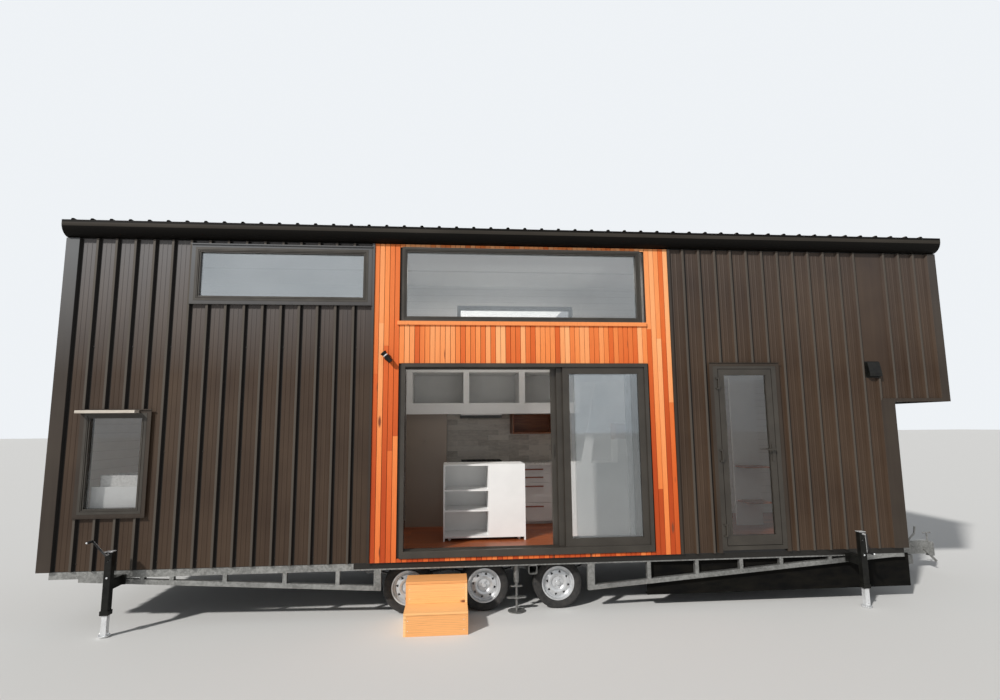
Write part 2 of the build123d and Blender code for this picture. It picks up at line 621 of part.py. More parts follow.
with BuildPart() as leaf_springs:
    for y in (SPRING_Y, HOUSE_WIDTH - SPRING_Y):
        near, far = y - SPRING_WIDTH / 2, y + SPRING_WIDTH / 2
        hangers = [AXLES[0] - AXLE_SPACING / 2] + [x + AXLE_SPACING / 2 for x in AXLES]
        block((hangers[0] - SPRING_REACH, hangers[-1] + SPRING_REACH), (near, far),
              (MAIN_RAIL_BOTTOM, RAIL_UNDER))
        for x in AXLES:
            with BuildSketch(Plane.XZ.offset(-near)):
                with BuildLine():
                    leaf_arc(x, -SPRING_REACH, SPRING_REACH, 0.0)
                    for side in (1, -1):
                        for level, reach in enumerate(LEAF_REACHES, start=1):
                            inner = LEAF_REACHES[level] if level < len(LEAF_REACHES) else 0.0
                            Line((x + side * reach, leaf_z(reach, LEAF * (level - 1))),
                                 (x + side * reach, leaf_z(reach, LEAF * level)))
                            leaf_arc(x, side * reach, side * inner, LEAF * level)
                make_face()
                for side in (-1, 1):
                    with Locations((x + side * SPRING_REACH, leaf_z(SPRING_REACH, LEAF / 2))):
                        Circle(EYE_RADIUS)
            extrude(amount=-SPRING_WIDTH)
            for low, high in ((PACK_TOP - TRIM, PACK_TOP + LEAF),
                              (AXLE_Z - AXLE_BEAM / 2 - LEAF, AXLE_Z - AXLE_BEAM / 2)):
                block((x - SPRING_PLATE / 2, x + SPRING_PLATE / 2), (near - 2 * LEAF, far + 2 * LEAF),
                      (low, high))
            with Locations([(x + i * U_BOLT_SPREAD / 2, y + j * (SPRING_WIDTH / 2 + LEAF), AXLE_Z + LEAF)
                            for i in (-1, 1) for j in (-1, 1)]):
                Cylinder(U_BOLT, 2 * AXLE_BEAM + 2 * LEAF)
        eye_gap = AXLE_SPACING / 2 - SPRING_REACH
        for x in hangers:
            eye_z = leaf_z(SPRING_REACH, LEAF / 2)
            extrude(outline(Plane.XZ.offset(-near), [
                (x - eye_gap - LEAF, eye_z - LEAF), (x + eye_gap + LEAF, eye_z - LEAF),
                (x + eye_gap + LEAF, eye_z + LEAF), (x + eye_gap / 2, MAIN_RAIL_BOTTOM + TRIM),
                (x - eye_gap / 2, MAIN_RAIL_BOTTOM + TRIM), (x - eye_gap - LEAF, eye_z + LEAF)]),
                amount=-SPRING_WIDTH)
write(leaf_springs, "leaf_springs")


def wheel(x, outer_y, inward):
    """Tyre and pressed rim on one axle end; inward is +1 when the house lies towards +Y."""
    origin = (x, outer_y, AXLE_Z)
    section = Plane(origin=origin, x_dir=(1, 0, 0), z_dir=(0, 0, 1))
    turning = Axis(origin, (0, 1, 0))

    def at(radius, depth):
        return radius, inward * depth

    def rows(radius, points, sign=-1):
        """Points measured from a radius: towards the axle with sign -1, outwards with +1."""
        return [at(radius + sign * away, depth) for away, depth in points]

    with BuildPart() as built:
        with BuildSketch(section):
            with BuildLine():
                for mirrored in (False, True):
                    def side(radius, depth):
                        return at(radius, TYRE_WIDTH - depth if mirrored else depth)
                    rim_end, bulge = [side(RIM_RADIUS + up, depth) for up, depth in SIDEWALL]
                    shoulder = [side(WHEEL_RADIUS - down, depth) for down, depth in SHOULDER]
                    groove = [side(WHEEL_RADIUS - down, depth) for down, depth in TREAD_GROOVE]
                    ThreePointArc(rim_end, bulge, shoulder[0])
                    ThreePointArc(*shoulder)
                    Polyline(shoulder[2], *groove, side(WHEEL_RADIUS, TYRE_WIDTH / 2))
                Line(at(RIM_RADIUS, SIDEWALL[0][1]), at(RIM_RADIUS, TYRE_WIDTH - SIDEWALL[0][1]))
            make_face()
        revolve(axis=turning)
        barrel, barrel_end = RIM_RADIUS - SEAT, TYRE_WIDTH - COUPLING_PLATE
        bore = AXLE_RADIUS + AXLE_CLEARANCE
        inner_face = TYRE_WIDTH + COUPLING_PLATE / 2
        with BuildSketch(section):
            with BuildLine():
                Polyline(*rows(HUB_RADIUS, HUB_FACE, 1), *rows(RIM_RADIUS, RIM_FACE),
                         at(RIM_RADIUS + RIM_LIP, RIM_LIP), at(RIM_RADIUS + RIM_LIP, RIM_LIP + RIM_SHEET),
                         at(barrel, RIM_LIP + 2 * RIM_SHEET), at(barrel, barrel_end),
                         at(barrel - RIM_SHEET, barrel_end), *rows(RIM_RADIUS, RIM_BACK),
                         *rows(HUB_RADIUS, HUB_BACK, 1), at(HUB_RADIUS, inner_face), at(bore, inner_face),
                         at(bore, HUB_BORE_DEPTH), at(0.0, HUB_BORE_DEPTH), close=True)
            make_face()
        revolve(axis=turning)
        face = Plane(origin=origin, x_dir=(1, 0, 0), z_dir=(0, inward, 0))
        with BuildSketch(face) as holes:
            with PolarLocations(WHEEL_HOLE_CIRCLE, WHEEL_HOLES, start_angle=WHEEL_HOLE_TURN):
                RegularPolygon(WHEEL_HOLE_RADIUS, 3)
            fillet(holes.vertices(), WHEEL_HOLE_ROUNDING)
        extrude(amount=HUB_BORE_DEPTH, mode=Mode.SUBTRACT)
        extrude(disc(face.offset(HUB_CAP_DEPTHS[0]), (0, 0), HUB_CAP),
                amount=HUB_CAP_DEPTHS[1] - HUB_CAP_DEPTHS[0])
        chamfer(built.edges().filter_by(GeomType.CIRCLE).filter_by(
            lambda edge: abs(edge.radius - HUB_CAP) < AXLE_CLEARANCE).group_by(
                Axis((0, 0, 0), (0, inward, 0)))[0], HUB_CAP_BEVEL)
        with BuildSketch(face.offset(WHEEL_NUT_DEPTHS[0])):
            with PolarLocations(WHEEL_NUT_CIRCLE, WHEEL_NUTS):
                RegularPolygon(WHEEL_NUT_RADIUS, 6)
        extrude(amount=WHEEL_NUT_DEPTHS[1] - WHEEL_NUT_DEPTHS[0])
    return built


for number, x in enumerate(AXLES, start=1):
    write(wheel(x, TYRE_FACE, 1), f"wheel_front_{number}")
    write(wheel(x, HOUSE_WIDTH - TYRE_FACE, -1), f"wheel_rear_{number}")

# Tracks of the stacking door: the fixed panel's outermost, the lead panel's innermost
TRACKS = [-BOARD + i * (PANEL_DEPTH + TRACK_GAP) for i in range(3)]
SLIDER_BACK = TRACKS[2] + PANEL_DEPTH + TRACK_GAP

# Floor panels: the main floor and the floor of the overhang
WALL_IN = SHEET + WALL_THICKNESS
LOFT_BOTTOM = OVERHANG_UNDERSIDE + SHEET
LOFT_TOP = LOFT_BOTTOM + LOFT_THICKNESS
with BuildPart() as floor_panels:
    block((SHEET, BODY_LENGTH - SHEET), (SHEET, HOUSE_WIDTH - SHEET), (FLOOR_BOTTOM, FLOOR_TOP))
    block((SLIDER_LEFT, SLIDER_RIGHT), (0.0, SLIDER_BACK), (SLIDER_BOTTOM, FLOOR_TOP + TRIM), Mode.SUBTRACT)
    block((ENTRY_LEFT, ENTRY_RIGHT), (0.0, WALL_IN), (ENTRY_BOTTOM, FLOOR_TOP + TRIM), Mode.SUBTRACT)
    block((BODY_LENGTH - SHEET, FULL_LENGTH - SHEET), (SHEET, HOUSE_WIDTH - SHEET), (LOFT_BOTTOM, LOFT_TOP))
    block((BODY_LENGTH - WALL_IN, BODY_LENGTH - SHEET), (WALL_IN, HOUSE_WIDTH - WALL_IN),
          (LOFT_BOTTOM, LOFT_TOP))
write(floor_panels, "floor_panels")

# Black folded tray that hangs under the floor at the coupling end
with BuildPart() as underfloor_tray:
    front = INNER_FRONT + TRIM
    extrude(outline(Plane.YZ.offset(BODY_LENGTH + TRAY_BEYOND - TRAY_LENGTH), [
        (front, RAIL_UNDER), (front, TRAY_BOTTOM), (front + TRAY_LIP, TRAY_BOTTOM),
        (front + TRAY_LIP, TRAY_BOTTOM + TRAY_SHEET), (front + TRAY_SHEET, TRAY_BOTTOM + TRAY_SHEET),
        (front + TRAY_SHEET, RAIL_UNDER)]), amount=TRAY_LENGTH)
write(underfloor_tray, "underfloor_tray")


def wall_piece(profile, y0, y1, cuts=()):
    """A wall between two depths from an X and Z outline, with rectangular window openings."""
    with BuildPart() as wall:
        with BuildSketch(Plane.XZ.offset(-y0)):
            with BuildLine():
                Polyline(*profile, close=True)
            make_face()
            for left, right, low, high in cuts:
                with Locations(((left + right) / 2, (low + high) / 2)):
                    Rectangle(right - left, high - low, mode=Mode.SUBTRACT)
        extrude(amount=-(y1 - y0))
    return wall


# Front wall, split beside and over the two doorways
FRONT_TOP = roof_line(SHEET)
SLIDER_WALL = (SLIDER_LEFT - END_GAP, SLIDER_RIGHT + END_GAP, SLIDER_TOP + END_GAP)
ENTRY_WALL = (ENTRY_LEFT - END_GAP, ENTRY_RIGHT + END_GAP, ENTRY_TOP + END_GAP)
write(wall_piece([(SHEET, FLOOR_TOP), (SLIDER_WALL[0], FLOOR_TOP), (SLIDER_WALL[0], FRONT_TOP),
                  (SHEET, FRONT_TOP)], SHEET, WALL_IN, [HIGH_WINDOW, SMALL_WINDOW]), "front_wall_left")
write(wall_piece([(SLIDER_WALL[1], FLOOR_TOP), (ENTRY_WALL[0], FLOOR_TOP), (ENTRY_WALL[0], FRONT_TOP),
                  (SLIDER_WALL[1], FRONT_TOP)], SHEET, WALL_IN), "front_wall_between_doors")
write(wall_piece([(ENTRY_WALL[1], FLOOR_TOP), (BODY_LENGTH - SHEET, FLOOR_TOP),
                  (BODY_LENGTH - SHEET, LOFT_TOP),
                  (FULL_LENGTH - SHEET, LOFT_TOP), (FULL_LENGTH - SHEET, FRONT_TOP),
                  (ENTRY_WALL[1], FRONT_TOP)],
                 SHEET, WALL_IN), "front_wall_right")

with BuildPart() as door_lintels:
    block(SLIDER_WALL[:2], (SHEET, WALL_IN), (SLIDER_WALL[2], CLERESTORY[2]))
    block(SLIDER_WALL[:2], (SHEET, WALL_IN), (CLERESTORY[3], FRONT_TOP))
    block(ENTRY_WALL[:2], (SHEET, WALL_IN), (ENTRY_WALL[2], FRONT_TOP))
write(door_lintels, "door_lintels")

REAR_OUT = HOUSE_WIDTH - SHEET
REAR_IN = REAR_OUT - WALL_THICKNESS
REAR_TOP = roof_line(REAR_IN)
write(wall_piece([(SHEET, FLOOR_TOP), (BODY_LENGTH - SHEET, FLOOR_TOP), (BODY_LENGTH - SHEET, LOFT_TOP),
                  (FULL_LENGTH - SHEET, LOFT_TOP), (FULL_LENGTH - SHEET, REAR_TOP), (SHEET, REAR_TOP)],
                 REAR_IN, REAR_OUT, [REAR_WINDOW]), "rear_wall")


def end_wall(x0, x1, foot):
    """A wall across the house between the long walls, its top sloped under the roof."""
    with BuildPart() as wall:
        extrude(outline(Plane.YZ.offset(x0),
                        [(WALL_IN, foot), (REAR_IN, foot), (REAR_IN, roof_line(REAR_IN)),
                                              (WALL_IN, roof_line(WALL_IN))]), amount=x1 - x0)
    return wall


write(end_wall(SHEET, WALL_IN, FLOOR_TOP), "left_end_wall")
with BuildPart() as right_end_walls:
    block((BODY_LENGTH - WALL_IN, BODY_LENGTH - SHEET), (WALL_IN, REAR_IN), (FLOOR_TOP, LOFT_BOTTOM))
    add(end_wall(FULL_LENGTH - WALL_IN, FULL_LENGTH - SHEET, LOFT_TOP).part)
write(right_end_walls, "right_end_walls")


def opening(window, margin, wall_y):
    """Cut a window's outline, with a margin, through the cladding at a wall's depth."""
    left, right, low, high = window
    block((left - margin, right + margin), (wall_y - 2 * RIB_PITCH, wall_y + RIB_PITCH),
          (low - margin, high + margin), Mode.SUBTRACT)


# Ribbed metal cladding of the front, with the flat apron over the vent
FRONT_PLANE = Plane(origin=(0, 0, 0), x_dir=(1, 0, 0), z_dir=(0, 0, -1))
CLAD_TOP = FRONT_WALL_HEIGHT - TRIM
VENT_LEFT = BODY_LENGTH - VENT_SETBACK
APRON = (VENT_LEFT - APRON_MARGINS[0], VENT_LEFT + VENT_SIZE[0] + APRON_MARGINS[1])
BELOW_OVERHANG = (BODY_LENGTH - SHEET, FULL_LENGTH, -DRIP, OVERHANG_UNDERSIDE)
with BuildPart() as front_cladding:
    extrude(rib_section(FRONT_PLANE, SHEET, BAY_LEFT - TRIM, LEFT_RIB_START), amount=-CLAD_TOP)
    opening(HIGH_WINDOW, BOARD, 0.0)
    opening(SMALL_WINDOW, BOARD, 0.0)
    extrude(rib_section(FRONT_PLANE, BAY_RIGHT + TRIM, FULL_LENGTH - SHEET, RIGHT_RIB_START),
            amount=-CLAD_TOP)
    opening((ENTRY_LEFT, ENTRY_RIGHT, -DRIP, ENTRY_TOP), TRIM, 0.0)
    opening(BELOW_OVERHANG, 0.0, 0.0)
    block(APRON, (-RIB_PITCH, 0.0), (VENT_SILL - BOARD, CLAD_TOP + TRIM), Mode.SUBTRACT)
    block(APRON, (0.0, SHEET), (VENT_SILL - BOARD, CLAD_TOP))
write(front_cladding, "front_cladding")

# Timber bay with the sill board under the clerestory
with BuildPart() as timber_panel:
    block((BAY_LEFT, BAY_RIGHT), (-BOARD, 0.0), (0.0, CLAD_TOP))
    opening(CLERESTORY, 0.0, 0.0)
    opening((SLIDER_LEFT, SLIDER_RIGHT, -DRIP, SLIDER_TOP), 0.0, 0.0)
    block((SLIDER_LEFT, SLIDER_RIGHT), (-BOARD, 0.0), (0.0, SLIDER_BOTTOM))
    sill_top = CLERESTORY[2]
    extrude(outline(Plane.YZ.offset(CLERESTORY[0] - SILL_LUG), [
        (-BOARD, sill_top), (-BOARD - SILL_PROUD, sill_top - TRIM),
        (-BOARD - SILL_PROUD, sill_top - SILL_BOARD),
        (-BOARD, sill_top - SILL_BOARD)]), amount=CLERESTORY[1] - CLERESTORY[0] + 2 * SILL_LUG)
write(timber_panel, "timber_panel")

# Ribbed cladding of the back and of the ends, cut under the sloping roof
REAR_PLANE = Plane(origin=(0, HOUSE_WIDTH, 0), x_dir=(1, 0, 0), z_dir=(0, 0, 1))
REAR_CLAD_TOP = roof_line(HOUSE_WIDTH) - TRIM
with BuildPart() as rear_cladding:
    extrude(rib_section(REAR_PLANE, SHEET, FULL_LENGTH - SHEET, even_start(FULL_LENGTH)),
            amount=REAR_CLAD_TOP)
    opening(BELOW_OVERHANG, 0.0, HOUSE_WIDTH)
    opening(REAR_WINDOW, BOARD, HOUSE_WIDTH)
write(rear_cladding, "rear_cladding")

END_SPAN = (SHEET + TRIM, HOUSE_WIDTH - SHEET - TRIM)
END_RIB = even_start(HOUSE_WIDTH)
with BuildPart() as end_cladding:
    left_plane = Plane(origin=(0, 0, 0), x_dir=(0, 1, 0), z_dir=(0, 0, 1))
    extrude(rib_section(left_plane, *END_SPAN, END_RIB), amount=REAR_CLAD_TOP)
    right_plane = Plane(origin=(BODY_LENGTH, 0, 0), x_dir=(0, 1, 0), z_dir=(0, 0, -1))
    extrude(rib_section(right_plane, *END_SPAN, END_RIB), amount=-OVERHANG_UNDERSIDE)
    far_plane = Plane(origin=(FULL_LENGTH, 0, OVERHANG_UNDERSIDE), x_dir=(0, 1, 0), z_dir=(0, 0, -1))
    extrude(rib_section(far_plane, *END_SPAN, END_RIB), amount=-(REAR_CLAD_TOP - OVERHANG_UNDERSIDE))
    extrude(outline(Plane.YZ.offset(-2 * RIB_PITCH), [
        (-RIB_PITCH, roof_line(-RIB_PITCH) - TRIM),
        (HOUSE_WIDTH + RIB_PITCH, roof_line(HOUSE_WIDTH + RIB_PITCH) - TRIM),
        (HOUSE_WIDTH + RIB_PITCH, roof_line(HOUSE_WIDTH) + ROOF_DEPTH),
        (-RIB_PITCH, roof_line(HOUSE_WIDTH) + ROOF_DEPTH)]),
        amount=FULL_LENGTH + 4 * RIB_PITCH, mode=Mode.SUBTRACT)
write(end_cladding, "end_cladding")

# Roof panel and its ribbed sheet
with BuildPart() as roof_deck:
    extrude(outline(Plane.YZ.offset(SHEET), [
        (0.0, roof_line(0.0)), (HOUSE_WIDTH, roof_line(HOUSE_WIDTH)),
        (HOUSE_WIDTH, roof_line(HOUSE_WIDTH) + ROOF_DEPTH),
        (0.0, roof_line(0.0) + ROOF_DEPTH)]), amount=FULL_LENGTH - 2 * SHEET)
write(roof_deck, "roof_deck")

ROOF_RUN = (HOUSE_WIDTH + EAVE_OVERHANG + REAR_OVERHANG) / COSINE
EAVE_PLANE = Plane(origin=(0, -EAVE_OVERHANG, roof_line(-EAVE_OVERHANG) + ROOF_DEPTH + SHEET / COSINE),
                   x_dir=(1, 0, 0), z_dir=(0, -COSINE, -SINE))
with BuildPart() as roof_sheet:
    extrude(rib_section(EAVE_PLANE, SHEET, FULL_LENGTH - SHEET, ROOF_RIB_START), amount=-ROOF_RUN)
write(roof_sheet, "roof_sheet")

# Gutter: a curved front, a rolled lip, a back against the roof panel, and two stop ends
GUTTER_BASE = FRONT_WALL_HEIGHT + TRIM
GUTTER_BACK = ROOF_DEPTH - 4 * TRIM
GUTTER_ENDS = (-CROWN_OUT, FULL_LENGTH + CROWN_OUT)


def gutter_curve(wall):
    """The curved front of the gutter, a wall thickness inside its outer face."""
    reach, radius = GUTTER_DEPTH - wall, GUTTER_CURVE - wall
    start = (-(GUTTER_DEPTH - GUTTER_CURVE), GUTTER_BASE + wall)
    turn = radius * (1 - cos(radians(45.0)))
    return start, (-(reach - turn), GUTTER_BASE + wall + turn), (-reach, GUTTER_BASE + GUTTER_CURVE)


with BuildPart() as gutter:
    with BuildSketch(Plane.YZ.offset(GUTTER_ENDS[0])):
        with BuildLine():
            outer, inner = gutter_curve(0.0), gutter_curve(SHEET)
            lip = GUTTER_BASE + GUTTER_HEIGHT
            Line((0.0, GUTTER_BASE), outer[0])
            ThreePointArc(*outer)
            Polyline(outer[2], (-GUTTER_DEPTH, lip), (-GUTTER_DEPTH + GUTTER_LIP, lip),
                     (-GUTTER_DEPTH + GUTTER_LIP, lip - GUTTER_LIP),
                     (-GUTTER_DEPTH + SHEET, lip - GUTTER_LIP), inner[2])
            ThreePointArc(*inner[::-1])
            Polyline(inner[0], (-SHEET, GUTTER_BASE + SHEET), (-SHEET, GUTTER_BASE + GUTTER_BACK),
                     (0.0, GUTTER_BASE + GUTTER_BACK), (0.0, GUTTER_BASE))
        make_face()
    extrude(amount=GUTTER_ENDS[1] - GUTTER_ENDS[0])
    for x in (GUTTER_ENDS[0], GUTTER_ENDS[1] - SHEET):
        with BuildSketch(Plane.YZ.offset(x)):
            with BuildLine():
                Line((0.0, GUTTER_BASE), outer[0])
                ThreePointArc(*outer)
                Polyline(outer[2], (-GUTTER_DEPTH, lip), (0.0, GUTTER_BASE + GUTTER_BACK),
                         (0.0, GUTTER_BASE))
            make_face()
        extrude(amount=SHEET)
write(gutter, "gutter")


def ring(window, y, bar, inset=0.0):
    """Outline of a rectangular frame at a depth, inset from a window's edge, its bars all of one width."""
    left, right, low, high = window
    width, height = right - left - 2 * inset, high - low - 2 * inset
    with BuildSketch(Plane.XZ.offset(-y)) as frame:
        with Locations(((left + right) / 2, (low + high) / 2)):
            Rectangle(width, height)
            Rectangle(width - 2 * bar, height - 2 * bar, mode=Mode.SUBTRACT)
    return frame.sketch


def window_trim(window):
    """Folded surround of a window on the crowns of the ribs, with a return to the frame and a drip head."""
    left, right, low, high = window
    extrude(ring(window, -CROWN_OUT, TRIM_WIDTH, -TRIM_WIDTH), amount=-SHEET)
    extrude(ring(window, -RIB_HEIGHT, SHEET, -SHEET), amount=-RIB_HEIGHT)
    span = (left - TRIM_WIDTH - TRIM, right + TRIM_WIDTH + TRIM)
    block(span, (-CROWN_OUT - DRIP, -CROWN_OUT), (high + TRIM_WIDTH - SHEET, high + TRIM_WIDTH))
    block(span, (-CROWN_OUT - DRIP, -CROWN_OUT - DRIP + SHEET),
          (high + TRIM_WIDTH - DRIP, high + TRIM_WIDTH))
    block(span, (-CROWN_OUT - DRIP, -CROWN_OUT), (low - TRIM_WIDTH, low - TRIM_WIDTH + SHEET))


def corner(x, out_x, leg_x, y, out_y, leg_y, low, high):
    """Corner angle over the crowns of two ribbed walls; out is -1 or +1, legs run back from the corner."""
    x_far, y_far = x + out_x * CROWN_OUT, y + out_y * CROWN_OUT
    block((x_far, x - out_x * leg_x), (y_far, y_far - out_y * SHEET), (low, high))
    block((x_far, x_far - out_x * SHEET), (y_far, y - out_y * leg_y), (low, high))


# Flashings: corner angles, barges, back capping, surrounds of openings, bay edges and the overhang's drip
with BuildPart() as flashings:
    crown = RIB_CROWN / 2
    end_leg, rear_leg = END_RIB + crown, even_start(FULL_LENGTH) + crown
    right_ribs = rib_centres(BAY_RIGHT, FULL_LENGTH - SHEET, RIGHT_RIB_START)
    last_low = max(x for x in right_ribs if x + RIB_FOOT / 2 < BODY_LENGTH)
    rear_ribs = rib_centres(SHEET, BODY_LENGTH - SHEET, even_start(FULL_LENGTH))
    corner(0.0, -1, LEFT_RIB_START + crown, 0.0, -1, end_leg, 0.0, CLAD_TOP)
    corner(0.0, -1, rear_leg, HOUSE_WIDTH, 1, end_leg, 0.0, CLAD_TOP)
    corner(FULL_LENGTH, 1, FULL_LENGTH - right_ribs[-1] + crown, 0.0, -1, end_leg, OVERHANG_UNDERSIDE,
           CLAD_TOP)
    corner(FULL_LENGTH, 1, rear_leg, HOUSE_WIDTH, 1, end_leg, OVERHANG_UNDERSIDE, CLAD_TOP)
    corner(BODY_LENGTH, 1, BODY_LENGTH - last_low + crown, 0.0, -1, end_leg, 0.0, OVERHANG_UNDERSIDE)
    corner(BODY_LENGTH, 1, BODY_LENGTH - rear_ribs[-1] + crown, HOUSE_WIDTH, 1, end_leg, 0.0,
           OVERHANG_UNDERSIDE)
    roof_ribs = rib_centres(SHEET, FULL_LENGTH - SHEET, ROOF_RIB_START)
    for edge, out, leg_end in ((-CROWN_OUT, 1, roof_ribs[0] + crown),
                               (FULL_LENGTH + CROWN_OUT, -1, roof_ribs[-1] - crown)):
        extrude(outline(EAVE_PLANE.offset(-EAVE_OVERHANG), [
            (leg_end, RIB_HEIGHT), (leg_end, CROWN_OUT), (edge, CROWN_OUT), (edge, -BARGE_DROP),
            (edge + out * SHEET, -BARGE_DROP), (edge + out * SHEET, RIB_HEIGHT)]),
            amount=-(ROOF_RUN - EAVE_OVERHANG))
    cap_out, cap_in = HOUSE_WIDTH + CROWN_OUT, HOUSE_WIDTH + CROWN_OUT - RIB_PITCH
    cap_low = crown_line(cap_out) - RIDGE_DROP
    extrude(outline(Plane.YZ.offset(-CROWN_OUT), [
        (cap_out, cap_low), (cap_out, crown_line(cap_out) + SHEET), (cap_in, crown_line(cap_in) + SHEET),
        (cap_in, crown_line(cap_in)), (cap_out - SHEET, crown_line(cap_out - SHEET)),
        (cap_out - SHEET, cap_low)]),
        amount=FULL_LENGTH + 2 * CROWN_OUT)
    window_trim(HIGH_WINDOW)
    window_trim(SMALL_WINDOW)
    block((ENTRY_LEFT - TRIM_WIDTH, ENTRY_LEFT), (-CROWN_OUT, -RIB_HEIGHT), (0.0, ENTRY_TOP + TRIM_WIDTH))
    block((ENTRY_RIGHT, ENTRY_RIGHT + TRIM_WIDTH), (-CROWN_OUT, -RIB_HEIGHT), (0.0, ENTRY_TOP + TRIM_WIDTH))
    block((ENTRY_LEFT, ENTRY_RIGHT), (-CROWN_OUT, -RIB_HEIGHT), (ENTRY_TOP, ENTRY_TOP + TRIM_WIDTH))
    for x in (ENTRY_LEFT - SHEET, ENTRY_RIGHT):
        block((x, x + SHEET), (-RIB_HEIGHT, 0.0), (0.0, ENTRY_TOP + SHEET))
    block((ENTRY_LEFT, ENTRY_RIGHT), (-RIB_HEIGHT, 0.0), (ENTRY_TOP, ENTRY_TOP + SHEET))
    block((ENTRY_LEFT - TRIM_WIDTH - DRIP, ENTRY_RIGHT + TRIM_WIDTH + DRIP), (-CROWN_OUT - DRIP, -CROWN_OUT),
          (ENTRY_TOP + TRIM_WIDTH - SHEET, ENTRY_TOP + TRIM_WIDTH))
    for x, inward in ((BAY_LEFT, -1), (BAY_RIGHT, 1)):
        block((x, x + inward * TRIM_LEG), (-CROWN_OUT, -RIB_HEIGHT), (0.0, CLAD_TOP))
        block((x, x + inward * SHEET), (-RIB_HEIGHT, 0.0), (0.0, CLAD_TOP))
    end_x = FULL_LENGTH + CROWN_OUT
    drip = (OVERHANG_UNDERSIDE - BOARD, OVERHANG_UNDERSIDE + BOARD)
    lap = (OVERHANG_UNDERSIDE - SHEET, OVERHANG_UNDERSIDE)
    for y, out in ((0.0, -1), (HOUSE_WIDTH, 1)):
        block((BODY_LENGTH - DRIP_START, end_x), (y + out * CROWN_OUT, y + out * RIB_HEIGHT), drip)
        block((BODY_LENGTH + CROWN_OUT, end_x), (y + out * RIB_HEIGHT, y - out * TRIM_LEG), lap)
    block((FULL_LENGTH + RIB_HEIGHT, end_x), (-CROWN_OUT, HOUSE_WIDTH + CROWN_OUT), drip)
    block((FULL_LENGTH - TRIM_LEG, end_x), (-CROWN_OUT, HOUSE_WIDTH + CROWN_OUT), lap)
    block((BODY_LENGTH, FULL_LENGTH - SHEET), (SHEET, HOUSE_WIDTH - SHEET),
          (OVERHANG_UNDERSIDE, LOFT_BOTTOM))
write(flashings, "flashings")

# Windows: one frame each with a sash line and a glazing bead, glass in the middle of the frame
GLASS_INSET = WINDOW_BAR


def window_frame(window, face_y, inward):
    """Outer frame and sash of a window; face_y is its outer face and inward +1 or -1 along Y."""
    extrude(ring(window, face_y, WINDOW_BAR), amount=-inward * WINDOW_DEPTH)
    extrude(ring(window, face_y, SASH_GROOVE, SASH_LINE), amount=-inward * GROOVE_DEPTH, mode=Mode.SUBTRACT)
    extrude(ring(window, face_y, BEAD, WINDOW_BAR - BEAD), amount=-inward * BEAD_STEP, mode=Mode.SUBTRACT)


def pane(window, y0, y1):
    """The glass of a window between two depths."""
    left, right, low, high = window
    block((left + GLASS_INSET, right - GLASS_INSET), (y0, y1), (low + GLASS_INSET, high - GLASS_INSET))


with BuildPart() as window_frames:
    for window in (HIGH_WINDOW, CLERESTORY, SMALL_WINDOW):
        window_frame(window, -WINDOW_PROUD, 1)
    window_frame(REAR_WINDOW, HOUSE_WIDTH + WINDOW_PROUD, -1)
write(window_frames, "window_frames")

with BuildPart() as window_glass:
    for window in (HIGH_WINDOW, CLERESTORY, SMALL_WINDOW):
        pane(window, 0.0, GLASS)
    pane(REAR_WINDOW, HOUSE_WIDTH - GLASS, HOUSE_WIDTH)
write(window_glass, "window_glass")

# Flat hood over the small window, with a drip groove
hood_top = SMALL_WINDOW[3] + TRIM_WIDTH
with BuildPart() as window_hood:
    hood_left = (SMALL_WINDOW[0] + SMALL_WINDOW[1] - HOOD_LENGTH) / 2 - HOOD_SHIFT
    hood_low = hood_top - HOOD_THICKNESS - DRIP
    extrude(outline(Plane.YZ.offset(hood_left), [
        (-CROWN_OUT, hood_low), (-HOOD_REACH + DRIP, hood_low), (-HOOD_REACH + DRIP, hood_low + SASH_GROOVE),
        (-HOOD_REACH + DRIP - SASH_GROOVE, hood_low + SASH_GROOVE),
        (-HOOD_REACH + DRIP - SASH_GROOVE, hood_low),
        (-HOOD_REACH, hood_low), (-HOOD_REACH, hood_low + HOOD_THICKNESS - TRIM),
        (-HOOD_REACH + TRIM, hood_low + HOOD_THICKNESS),
        (-CROWN_OUT, hood_low + HOOD_THICKNESS)]), amount=HOOD_LENGTH)
write(window_hood, "window_hood")

# Stacking door: three-track frame with the fixed panel, and two sliding panels
SILL_TOP = SLIDER_BOTTOM + SLIDER_SILL
HEAD_UNDER = SLIDER_TOP - SLIDER_HEAD
PANEL_BOTTOM = SILL_TOP + SEAT
PANEL_TOP = HEAD_UNDER - END_GAP
FIXED_LEFT = SLIDER_RIGHT - SLIDER_JAMB - PANEL_WIDTH
MIDDLE_PANEL_LEFT = FIXED_LEFT - MIDDLE_STAGGER
LEAD_PANEL_LEFT = MIDDLE_PANEL_LEFT - PANEL_STAGGER


def panel(x, y, bottom, top):
    """A glazed panel's stiles and rails, without the glass."""
    with BuildSketch(Plane.XZ.offset(-y)) as frame:
        with Locations((x + PANEL_WIDTH / 2, (bottom + top) / 2)):
            Rectangle(PANEL_WIDTH, top - bottom)
        with Locations((x + PANEL_WIDTH / 2, (bottom + PANEL_RAIL + top - PANEL_STILE) / 2)):
            Rectangle(PANEL_WIDTH - 2 * PANEL_STILE, top - PANEL_STILE - bottom - PANEL_RAIL,
                      mode=Mode.SUBTRACT)
    return frame.sketch


def panel_glass(x, y, bottom, top):
    """The pane inside a panel's stiles and rails."""
    middle = y + PANEL_DEPTH / 2
    block((x + PANEL_STILE, x + PANEL_WIDTH - PANEL_STILE), (middle - GLASS / 2, middle + GLASS / 2),
          (bottom + PANEL_RAIL, top - PANEL_STILE))


